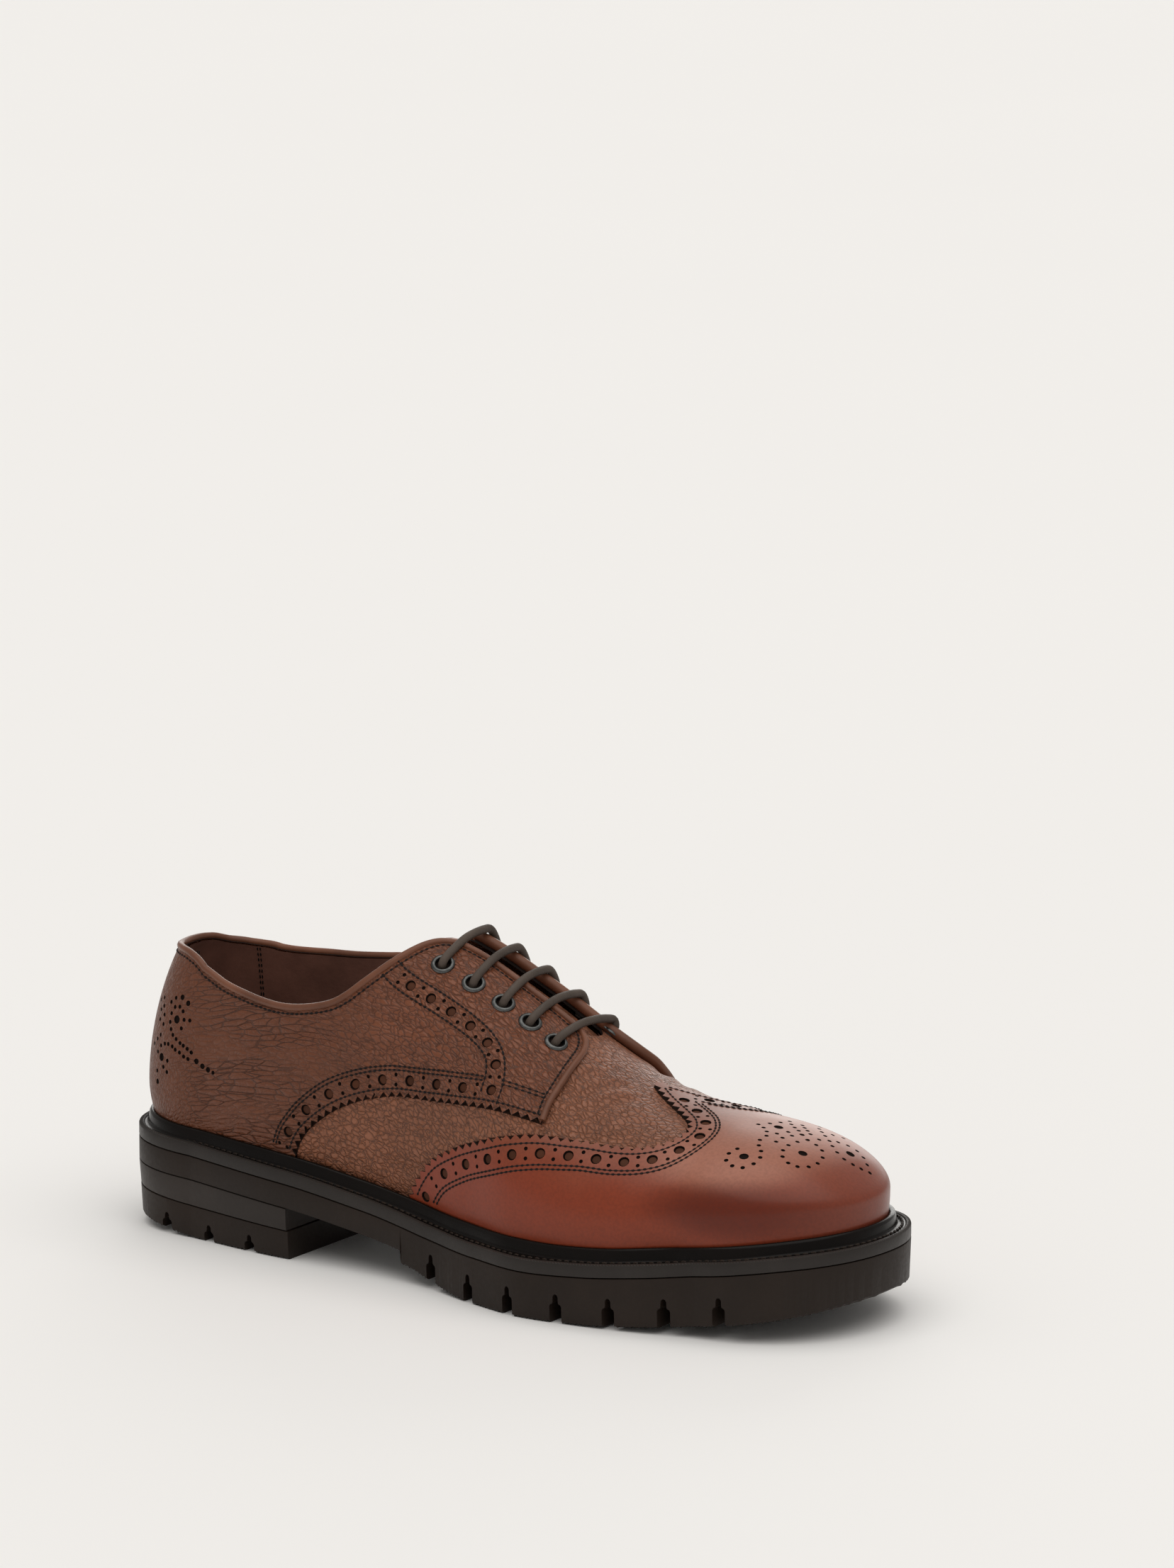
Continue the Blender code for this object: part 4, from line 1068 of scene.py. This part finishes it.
heelDots = {
    "sizes": {"small": 1.6, "mid": 2.1, "large": 3.0},
    "small": [(1.9, -39.5), (-3.5, -36.6), (15.5, -46.0), (10.8, -45.9), (2.3, -43.4), (15.0, -49.3), (19.6, -50.4),
              (-1.7, -42.4), (22.9, -52.7), (11.6, -50.6), (3.3, -47.6), (-2.7, -46.1), (10.3, -53.5), (24.3, -56.0),
              (29.6, -56.7), (2.1, -50.9), (11.3, -56.6), (22.0, -58.8), (-1.5, -53.4), (13.4, -59.4), (-6.2, -52.3),
              (16.9, -61.8), (-11.6, -50.7), (-1.3, -57.9), (3.8, -59.5), (8.0, -61.2), (21.0, -64.0), (24.4, -65.4),
              (28.5, -66.9), (32.7, -68.3), (12.6, -63.5), (15.9, -65.5), (20.5, -67.4), (24.9, -69.4), (29.5, -70.6),
              (-6.2, -57.8), (6.2, -67.0), (0.4, -67.2), (4.6, -70.8), (-9.3, -64.0), (44.8, -75.8)],
    "mid": [(21.5, -47.3), (27.0, -50.3), (37.0, -71.4), (39.8, -73.2), (42.4, -74.6), (-10.3, -68.0)],
    "large": [(17.3, -54.6), (-1.2, -62.6)],
}


def dots(table):
    return [(np.array(place), size) for kind, size in table["sizes"].items() for place in table[kind]]


# The pattern places of a facing's eyelets, whose distance from the shoe's middle is the solids' own
def eyeletPlaces(side):
    if side < 0:
        return [np.array(place) for place in eyelet["near"]]
    found = []
    for k in range(5):
        x = eyelet["first"] + k * eyelet["pitch"]
        b = np.linspace(4, 48, 300)
        y = surfaceAt(np.full(300, x), b)[:, 1]
        found.append(np.array([x, float(np.interp(eyelet["farY"], y, b))]))
    return found


medallion = {
    "sizes": {"small": 1.65, "mid": 2.0, "large": 3.4},
    "small": [(254.9, -2.5), (257.9, -3.8), (260.7, -6.2), (262.7, -9.5), (257.0, 1.8), (258.5, 6.3), (259.3, 11.1),
              (261.8, 8.2), (264.4, 6.3), (265.7, 0.0), (264.1, -4.9), (267.4, -6.4), (268.4, -1.8), (267.7, -11.1),
              (262.9, -14.1), (264.8, -17.8), (267.5, -20.6), (269.4, -24.1), (269.4, -28.4), (267.1, -32.0),
              (263.2, -32.8), (259.7, -31.2), (258.6, -27.6), (259.8, -23.9), (264.1, 11.9), (266.3, 9.9),
              (268.6, 8.2), (271.1, 6.2), (267.0, 4.8), (272.5, -4.6), (273.6, 0.4), (275.4, 5.2), (277.5, 0.0),
              (272.0, -9.8), (272.8, -14.6), (275.0, -18.3), (278.5, -20.0), (281.9, -19.1), (284.5, -15.7),
              (285.2, -10.8), (284.0, -5.7), (281.0, -1.5), (268.5, 16.2), (271.2, 13.6), (274.2, 11.2),
              (277.6, 8.7), (280.7, 5.9), (284.3, 3.6), (288.2, 2.5), (291.6, 3.6), (294.3, 5.6), (296.8, 8.4),
              (293.2, 11.4), (289.6, 14.0), (285.7, 15.4), (282.1, 14.5), (279.3, 12.0), (274.1, 16.6),
              (276.5, 20.3), (277.0, 25.7), (274.6, 30.4), (270.2, 32.2), (266.0, 30.0), (264.6, 25.6), (266.0, 20.8)],
    "mid": [(269.9, 2.5)],
    "large": [(261.0, 1.1), (278.4, -10.3), (264.3, -26.7), (286.7, 9.0), (270.3, 25.7)],
}


def makeWingCap():
    edge = offsetLine(outer["wing"], -wingRows["inset"])
    inner = offsetLine(outer["wingInner"], wingRows["inset"])
    edge, inner = edge[edge[:, 1] < -0.9], inner[inner[:, 1] > 0.9]
    tip = np.array([(edge[-1][0] - 2.2, -0.2)])
    keepOuter = aboveFoot(gimped(edge), -1, 0.2)
    keepInner = aboveFoot(gimped(inner[::-1])[::-1], 1, 0.2)
    toothShade("wingOuterShade", edge[70:], 1)
    toothShade("wingInnerShade", inner[70:], -1)
    foot = [footLine(1, stepOf(keepInner[0][0]), 3.0)[1:], footLine(-1, 3.0, stepOf(keepOuter[0][0]))[1:-1]]
    outline = np.concatenate([keepOuter, tip, keepInner[::-1], *foot])
    cuts, stitches = [], bmesh.new()
    for line, side in ((edge, -1), (inner, 1)):
        def wingRow(away, gap):
            path = offsetLine(line, side * away)
            return aboveFoot(path[side * path[:, 1] > gap], side, rows["footGap"])
        cuts += brogueHoles(wingRow(wingRows["brogue"], 2.8), 0.6, 0.2, wingRows["pitch"], ease=0.88)
        stitchRow(stitches, wingRow(wingRows["single"], 1.2)[1:])
        for away in (wingRows["double"], wingRows["double"] + rows["doubleGap"]):
            stitchRow(stitches, wingRow(away, 1.0)[1:])
    cuts.append((np.array([edge[-1][0] + 4.0, -0.2]), holes["small"]))
    cuts += dots(medallion)
    leatherCap = panel("wingCapLeather", outline, cuts, 0.0, leather["overlay"], leather["cell"])
    register(leatherCap, "cap_leather", "cap", "edge", node=["wing_cap"])
    register(meshObject("wingCapStitches", stitches), "welt_leather", "thread", "seam")


def shellOutline():
    foot = np.concatenate([footLine(1, 0.0, 3.0), footLine(-1, 3.0, 0.0)[1:-1]])
    centre = np.array([150.0, 0.0])
    return (foot - centre) * 0.998 + centre


# The opening of the shell: collar, facings and the front of the throat
def mouthLine(step):
    ahead = {name: outer[name][outer[name][:, 0] < 178] for name in ("facingOuter", "facingInner")}
    front = spline([ahead["facingOuter"][-1], (182.5, 1.0), (183.0, 8.0), ahead["facingInner"][-1]], 2.0)[1:-1]
    return np.concatenate([
        outer["collarOuter"][::step], ahead["facingOuter"][::step], front, ahead["facingInner"][::-step],
        outer["collarInner"][:0:-step],
    ])


def makeVamp():
    vamp = panel("vampLeather", shellOutline(), [mouthLine(2)], leather["baseLift"], 0.9, 1.7)
    register(vamp, "grain_leather", "vamp", "edge", node=["upper"])


def makeLining():
    lining = panel("liningLeather", shellOutline(), [mouthLine(3)], leather["liningLift"], 0, 2.6, inside=True)
    register(lining, "lining_leather", "lining")
    seam = bmesh.new()
    for line in (spline([(24, -30), (17, -48), (10, -66)], 2.0), spline([(22.5, 36.5), (16, 54), (9.5, 72)], 2.0)):
        for shift in (-0.9, 0.9):
            path = resample(offsetLine(line, shift), 2.4)
            along = np.gradient(path, axis=0) * 0.37
            starts, ends = (bend(*(path + along * way).T, leather["liningLift"] - 0.1) for way in (-1, 1))
            addStitches(seam, starts, ends, -normalAt(*path.T), 0.6)
    register(meshObject("liningStitches", seam), "welt_leather", "thread")


# One bound edge round the collar and one on each facing; the inner facing's stands up as a roll
def makePiping():
    collar = np.concatenate([outer["collarOuter"][::-1], outer["collarInner"][2:]])
    for name, rim, radius, lift in (
        ("pipingCollar", collar, pipe["collar"], -0.35),
        ("pipingOuter", outer["facingOuter"], pipe["near"], 0.0),
        ("pipingInner", outer["facingInner"], pipe["far"], 0.85),
    ):
        points = bend(*resample(rim, 1.0).T, lift)
        if name == "pipingCollar":
            points = smoothBack(points)
        register(tube(name, points, radius, 4), "grain_leather", "pipe")


# The back of the collar, where both sides meet in one curve
def smoothBack(points):
    middle = int(np.argmin(points[:, 0]))
    near = slice(max(1, middle - 14), middle + 14)
    for _ in range(30):
        points[near] = (points[near.start - 1:near.stop - 1] + points[near] + points[near.start + 1:near.stop + 1]) / 3
    return points


def frameAt(place):
    a, b = np.array([place]).T
    return bend(a, b)[0], normalAt(a, b)[0]


def makeEyelets():
    hole, rim, proud = eyelet["hole"] / 2, eyelet["outer"] / 2, eyelet["proud"]
    profile = [(hole - 0.15, -2.4), (hole - 0.15, 0.25), (hole + 0.15, 0.62), (hole + 0.6, proud),
               (rim - 0.75, proud * 0.92), (rim - 0.25, proud * 0.62), (rim, 0.15), (rim, -0.1)]
    angles = np.linspace(0, 2 * math.pi, eyelet["sides"] + 1)
    for side, name in ((-1, "outer"), (1, "inner")):
        for k, place in enumerate(eyeletPlaces(side)):
            centre, normal = frameAt(place)
            turn = Vector(normal).to_track_quat("Z", "Y")
            spot = lambda r, up, angle: turn @ Vector((r * math.cos(angle), r * math.sin(angle), up))
            rings = [[centre + np.array(spot(r, up, angle)) for r, up in profile] for angle in angles]
            bm = gridObject(np.array(rings))
            bmesh.ops.recalc_face_normals(bm, faces=bm.faces)
            ring = meshObject(f"eyelet{name.title()}{k + 1}", bm)
            register(ring, "eyelet_metal", "metal", node=[f"eyelet_{name}_{k + 1}"], sharp=50)


lace = {"radius": 1.5}


# Straight bars: out of the near eyelet, up over the gap, and close over the far edge to its eyelet
def makeLaces():
    for k, (near, far) in enumerate(zip(eyeletPlaces(-1), eyeletPlaces(1))):
        start, startUp = frameAt(near)
        stop, stopUp = frameAt(far)
        rim = float(np.interp(far[0], outer["facingInner"][:, 0], outer["facingInner"][:, 1]))
        crest, crestUp = frameAt((far[0] + 0.6, rim - 0.4))
        past, pastUp = frameAt((far[0] + 0.3, rim + 0.52 * (far[1] - rim)))
        lean = (crest - start) / np.linalg.norm(crest - start)
        route = [
            start - startUp * 3.0 - lean * 0.9,
            start - startUp * 0.6 - lean * 0.5,
            start + startUp * 1.6 + lean * 0.6,
            start * 0.72 + crest * 0.28 + np.array([0, 0, 3.7]),
            start * 0.42 + crest * 0.58 + np.array([0, 0, 5.3]),
            crest - lean * 1.2 + np.array([0, 0, 4.9]),
            crest + lean * 2.2 + np.array([0, 0, 3.6]) + crestUp * 0.4,
            past + pastUp * 2.6,
            stop + stopUp * 1.2 - (stop - past) * 0.12,
            stop - stopUp * 1.4,
            stop - stopUp * 3.0,
        ]
        bar = tube(f"lace{k + 1}", spline(route, 0.8), lace["radius"], 5)
        register(bar, "lace_cord", "lace", node=[f"lace_bar_{k + 1}"])


tongue = {"top": 121.3, "front": 190.0, "half": 27.0, "lift": -3.6, "thick": 2.2}


def makeTongue():
    turns = np.linspace(-1, 1, 33)
    flat = 1 - np.clip((np.abs(turns) - 0.86) / 0.14, 0, 1) ** 2 * 0.8
    rings = []
    for at in np.linspace(tongue["top"], tongue["front"], 46):
        half = tongue["half"] * (0.62 + 0.38 * math.sin(min(1, (at - tongue["top"]) / 20) * math.pi / 2))
        crest = 1 - np.clip((tongue["top"] + 4 - at) / 4, 0, 1) ** 2
        thin = (1 - flat * crest) * tongue["thick"] / 2
        top, under = (
            bend(np.full(33, at), 3.0 + turns * half, lift)
            for lift in (tongue["lift"] - thin, tongue["lift"] - tongue["thick"] + thin)
        )
        rings.append(np.concatenate([top, under[::-1], top[:1]]))
    bm = gridObject(np.array(rings))
    bmesh.ops.holes_fill(bm, edges=bm.edges, sides=0)
    bmesh.ops.recalc_face_normals(bm, faces=bm.faces)
    obj = meshObject("tonguePad", bm)
    uv = obj.data.uv_layers.new(name="pattern")
    for loop in obj.data.loops:
        uv.data[loop.index].uv = obj.data.vertices[loop.vertex_index].co.xy
    register(obj, "grain_leather", "vamp", node=["tongue"])


makeQuarter(-1)
makeQuarter(1)
print("quarters cut")
makeWingCap()
print("wing cap cut")
makeVamp()
makeLining()
makePunched()
makePiping()
makeEyelets()
makeLaces()
makeTongue()
print("upper made")

# Sole

sole = {
    "gap": 0.3, "edgeStrip": 4.8, "soleStrip": 8.4, "liftShare": 0.44, "breast": 82.5, "forepart": 133.0,
    "firstNotch": 148.0, "notchPitch": 20.0, "notchCount": 7, "notchWidth": 4.6, "notchHeight": 7.0,
    "slotWidth": 2.2, "slotHeight": 10.4, "slotDepth": 12.0, "firstHeelNotch": 25.0, "heelNotchPitch": 19.8,
    "heelNotchCount": 3, "heelNotchHeight": 3.8, "heelSlotHeight": 6.3, "treadDepth": 4.0, "toothPitch": 1.6,
    "toothDepth": 0.8, "wheelPitch": 1.15, "border": 15.0, "lugWall": 3.0,
}


def soleSteps(pitch):
    q = np.linspace(0, 3, 3000)
    x, y = soleEdge(-1, q)
    gone = np.concatenate([[0], np.cumsum(np.hypot(np.diff(x), np.diff(y)))])
    return np.interp(np.linspace(0, gone[-1], int(gone[-1] / pitch) + 1), gone, q)


# Rings round the sole; profile lists (inset, height function) from below up, outside first
def soleRings(steps, profile):
    halves = []
    for side in (-1, 1):
        columns = []
        for inset, height in profile:
            x, y = soleEdge(side, steps, inset)
            columns.append(np.stack([x, y, height(x)], -1))
        halves.append(np.stack(columns, 1))
    return np.concatenate([halves[0], halves[1][:, ::-1], halves[0][:, :1]], 1)


def slab(steps, profile):
    bm = gridObject(soleRings(steps, profile), mergeGap=2e-6)
    bmesh.ops.holes_fill(bm, edges=bm.edges, sides=0)
    bmesh.ops.recalc_face_normals(bm, faces=bm.faces)
    return bm


def stripBottom(x):
    return ledgeHeight(x) - sole["edgeStrip"]


def heelLayer(x, share):
    under = floorHeight(x)
    return under + share * (stripBottom(x) - sole["gap"] - sole["soleStrip"] - under)


def roundedProfile(bottom, top, r, inset=0.0):
    return [
        (inset + r, bottom), (inset + r * 0.3, lambda x: bottom(x) + r * 0.3), (inset, lambda x: bottom(x) + r),
        (0, lambda x: top(x) - r), (r * 0.3, lambda x: top(x) - r * 0.3), (r, top),
    ]


def makeEdgeStrip():
    top = ledgeHeight
    wheeled = lambda x, deep: top(x) - deep * (np.arange(len(x)) % 2)
    profile = [(0.5, stripBottom), (0.12, lambda x: stripBottom(x) + 0.12), (0, lambda x: stripBottom(x) + 0.5),
               (0, lambda x: top(x) - 0.75), (0.2, lambda x: wheeled(x, 0.32) - 0.2), (0.6, lambda x: wheeled(x, 0.30)),
               (1.5, top), (1.9, lambda x: top(x) - 0.5), (2.1, lambda x: top(x) - 1.2)]
    strip = meshObject("weltEdge", slab(soleSteps(sole["wheelPitch"] / 2), profile))
    register(strip, "edge_rubber", "edgeStrip", node=["midsole"], sharp=30)


# Inset from the feather line and height over the ledge, from outside over the rib to the upper
welt = {
    "profile": ((-3.9, 0.55), (-3.5, 0.85), (-3.3, 1.6), (-3.05, 3.9), (-2.7, 4.75), (-2.2, 5.15), (-1.6, 5.2),
                (-1.0, 4.95), (-0.6, 4.4), (-0.5, 3.0), (-0.5, -0.3)),
    "ledge": 2.0, "sink": 0.9, "steps": 230, "stitchPitch": 2.9, "stitchLength": 2.3, "stitchThick": 1.15,
}


def makeWelt():
    base = lambda x: ledgeHeight(x) - welt["sink"]
    rings = []
    lap = np.linspace(0, 3, welt["steps"])
    for side, q in [(-1, q) for q in lap[:-1]] + [(1, q) for q in lap[::-1]]:
        soleQ = stepOf(spinePoint(q)[0], "soleToeFan") if 1 < q < 2 else q
        x, y = soleEdge(side, soleQ, welt["ledge"])
        ring = [(x, y, base(x) + up) for up in (-0.3, 0.5)]
        for inset, up in welt["profile"]:
            x, y = featherLine(side, q, inset)
            ring.append((x, y, base(x) + up))
        rings.append(ring + ring[:1])
    bm = gridObject(np.array(rings + rings[:1], float))
    bmesh.ops.recalc_face_normals(bm, faces=bm.faces)
    register(meshObject("stormWelt", bm), "welt_leather", "welt", node=["welt"], sharp=50)
    threads = bmesh.new()
    for side in (-1, 1):
        x, y = soleEdge(side, np.linspace(0.95, 3, 3000), 3.0)
        gone = np.concatenate([[0], np.cumsum(np.hypot(np.diff(x), np.diff(y)))])
        point = lambda s: np.stack([
            np.interp(s, gone, x), np.interp(s, gone, y), base(np.interp(s, gone, x)) + 0.85,
        ], -1)
        at = np.arange(1.0, gone[-1], welt["stitchPitch"])
        ends = point(np.minimum(at + welt["stitchLength"], gone[-1]))
        addStitches(threads, point(at), ends, np.tile([0, 0, 1.0], (len(at), 1)), welt["stitchThick"])
    register(meshObject("weltStitches", threads), "welt_leather", "weltThread")


def keyholePoints(groove, slotTop):
    half, slim = sole["notchWidth"] / 2, sole["slotWidth"] / 2
    right = [(half, -4), (half, groove - 1.1), (half * 0.86, groove - 0.4), (slim + 0.15, groove),
             (slim * 0.96, groove + 0.4), (slim * 0.9, slotTop - 1.0), (slim * 0.55, slotTop - 0.25), (0, slotTop)]
    return [(-along, up) for along, up in right[:-1]] + right[::-1]


# A notch with a narrow slot above it, through both edges of the sole at x
def addNotch(bm, x, groove, slotTop):
    floor = float(floorHeight(x))
    for side, name in ((-1, "outer"), (1, "inner")):
        deep = side * (float(read(soleOutline, name, x)) * shoe["ballWidth"] - sole["slotDepth"])
        ring = [(x + along, deep, up + floor) for along, up in keyholePoints(groove, slotTop)]
        face = bm.faces.new([bm.verts.new(toScene(spot)) for spot in ring])
        extrude(bm, [face], (0, side * 2 * sole["slotDepth"] * mm, 0))


def applyCut(bm, cutter, name):
    bmesh.ops.recalc_face_normals(cutter, faces=cutter.faces)
    return bpy.data.objects.new(name, combine(bm, cutter, name, "DIFFERENCE"))


def saw(x):
    phase = np.asarray(x) / sole["toothPitch"]
    return np.abs(phase - np.floor(phase) - 0.5) * 2 * sole["toothDepth"]


def makeOutsole():
    top = lambda x: stripBottom(x) - sole["gap"]
    strip = lambda x: top(x) - sole["soleStrip"]
    steps = soleSteps(0.62)
    rise = stepOf(sole["forepart"], "soleToeFan")
    behind = np.append(steps[steps < rise - 0.002], rise)
    ahead = np.insert(steps[steps > rise + 0.002], 0, rise)
    back = roundedProfile(strip, top, 0.35)
    front = [(4.0, floorHeight), (2.2, floorHeight), (0.9, lambda x: floorHeight(x) + saw(x)),
             (0.5, lambda x: floorHeight(x) + 0.9), (0.0, lambda x: top(x) - 0.35), (0.1, lambda x: top(x) - 0.1),
             (0.35, top)]
    bm = gridObject(np.concatenate([soleRings(behind, back[:1] + back), soleRings(ahead, front)]), mergeGap=2e-6)
    bmesh.ops.recalc_face_normals(bm, faces=bm.faces)
    cutter = bmesh.new()
    notches = [sole["firstNotch"] + i * sole["notchPitch"] for i in range(sole["notchCount"])]
    for x in notches:
        addNotch(cutter, x, sole["notchHeight"], sole["slotHeight"])
    for x in notches[:-1]:
        first = x + sole["notchWidth"] / 2 + sole["lugWall"]
        last = first + sole["notchPitch"] - sole["notchWidth"] - 2 * sole["lugWall"]
        if last > shoe["soleToeFan"]:
            continue
        corners = []
        for at, side in ((first, -1), (last, -1), (last, 1), (first, 1)):
            px, py = soleEdge(side, stepOf(at, "soleToeFan"), sole["border"])
            corners.append((float(px), float(py), float(floorHeight(at)) - 4))
        face = cutter.faces.new([cutter.verts.new(toScene(corner)) for corner in corners])
        extrude(cutter, [face], (0, 0, (4 + sole["treadDepth"]) * mm))
    register(applyCut(bm, cutter, "outsoleRubber"), "sole_rubber", "sole", node=["outsole"], sharp=30)


def makeHeel():
    last = stepOf(sole["breast"], "soleToeFan")
    steps = soleSteps(0.62)
    steps = np.append(steps[steps < last - 0.002], last)
    liftBase = lambda x: heelLayer(x, 1 - sole["liftShare"])
    liftTop = lambda x: heelLayer(x, 1) - sole["gap"]
    lift = meshObject("heelLift", slab(steps[::2], roundedProfile(liftBase, liftTop, 0.3, 0.5)))
    register(lift, "lift_rubber", "lift", node=["heel_lift"], sharp=30)
    pieceTop = lambda x: liftBase(x) - sole["gap"]
    profile = [(4.0, floorHeight), (2.6, floorHeight), (1.4, lambda x: floorHeight(x) + saw(x)),
               (1.0, lambda x: floorHeight(x) + 0.9), (0.5, lambda x: pieceTop(x) - 0.3),
               (0.6, lambda x: pieceTop(x) - 0.1), (0.8, pieceTop)]
    cutter = bmesh.new()
    for i in range(sole["heelNotchCount"]):
        x = sole["firstHeelNotch"] + i * sole["heelNotchPitch"]
        addNotch(cutter, x, sole["heelNotchHeight"], sole["heelSlotHeight"])
    piece = applyCut(slab(steps, profile), cutter, "heelTopPiece")
    register(piece, "sole_rubber", "sole", node=["heel_top_piece"], sharp=30)


makeEdgeStrip()
makeWelt()
makeOutsole()
makeHeel()
print("sole made")

for slotItem in bpy.data.objects["insole"].material_slots:
    slotItem.material = materials["sock"]

# Stage, light and camera

stage = {
    "size": 6.0, "paper": ((0.896, 0.896, 0.898), (0.906, 0.906, 0.908)),
    "sky": (1.0, 0.972, 0.930), "skyStrength": 0.435,
    "sun": 1.58, "rim": 0.62, "rimColour": (1.0, 0.98, 0.95),
}


def makeStage():
    bm = bmesh.new()
    bmesh.ops.create_grid(bm, x_segments=2, y_segments=2, size=stage["size"])
    floor = meshObject("floor", bm)
    floor.data.materials.append(floorMaterial())
    bpy.context.scene.collection.objects.link(floor)


def floorMaterial():
    made, nodes, shader = startMaterial("floorPaper", 0.95, specular=0.1)
    nodes.link(nodes.mix(nodes.noise(objectVector(nodes), 3, 2.0), *stage["paper"]), shader.inputs["Base Color"])
    return made


def addSun(name, energy, colour, angle, turn):
    sun = bpy.data.lights.new(name, "SUN")
    sun.energy, sun.color, sun.angle = energy, colour, math.radians(angle)
    light = bpy.data.objects.new(name, sun)
    light.rotation_mode = "QUATERNION"
    light.rotation_quaternion = turn
    bpy.context.scene.collection.objects.link(light)


def makeLights():
    world = bpy.data.worlds.new("studio")
    bpy.context.scene.world = world
    world.use_nodes = True
    colour, strength = world.node_tree.nodes["Background"].inputs[:2]
    colour.default_value, strength.default_value = (*stage["sky"], 1), stage["skyStrength"]
    overhead = Euler((math.radians(8), math.radians(10), 0)).to_quaternion()
    addSun("skyLight", stage["sun"], stage["sky"], 80, overhead)
    addSun("rimLight", stage["rim"], stage["rimColour"], 40, Vector((0.44, -0.86, -0.24)).to_track_quat("-Z", "Y"))


# The target shows at this pixel of the frame, at this many pixels a millimetre
view = {"azimuth": 34.0, "elevation": 14.6, "distance": 3000.0, "scale": 3.99, "target": (150.0, 0.0, 30.0),
        "pixel": (715.9, 1666.4), "frame": (1656, 2212)}


def makeCamera():
    azimuth, elevation = math.radians(view["azimuth"]), math.radians(view["elevation"])
    level = math.cos(elevation)
    back = Vector((math.sin(azimuth) * level, -math.cos(azimuth) * level, math.sin(elevation)))
    target = Vector(toScene(view["target"]))
    place = target + back * view["distance"] * mm
    focal = view["distance"] * view["scale"]
    u = (view["pixel"][0] - view["frame"][0] / 2) / focal
    v = (view["frame"][1] / 2 - view["pixel"][1]) / focal
    toward = -back
    length = math.sqrt(1 + u * u + v * v)
    pitch = math.atan2(v, 1) + math.asin(-toward.z * length / math.sqrt(1 + v * v))
    ahead = v * math.sin(pitch) + math.cos(pitch)
    yaw = math.atan2(toward.y, toward.x) - math.atan2(-u, ahead)
    forward = Vector((math.cos(yaw) * math.cos(pitch), math.sin(yaw) * math.cos(pitch), -math.sin(pitch)))
    right = Vector((math.sin(yaw), -math.cos(yaw), 0))
    up = right.cross(forward)
    data = bpy.data.cameras.new("camera")
    data.sensor_width = 36
    data.lens = focal / view["frame"][1] * 36
    data.clip_start, data.clip_end = 0.1, 60
    camera = bpy.data.objects.new("camera", data)
    camera.matrix_world = Matrix((
        (right.x, up.x, -forward.x, place.x),
        (right.y, up.y, -forward.y, place.y),
        (right.z, up.z, -forward.z, place.z),
        (0, 0, 0, 1),
    ))
    bpy.context.scene.collection.objects.link(camera)
    bpy.context.scene.camera = camera


makeStage()
makeLights()
makeCamera()
bpy.context.scene.view_settings.view_transform = "Standard"
print("stage set")
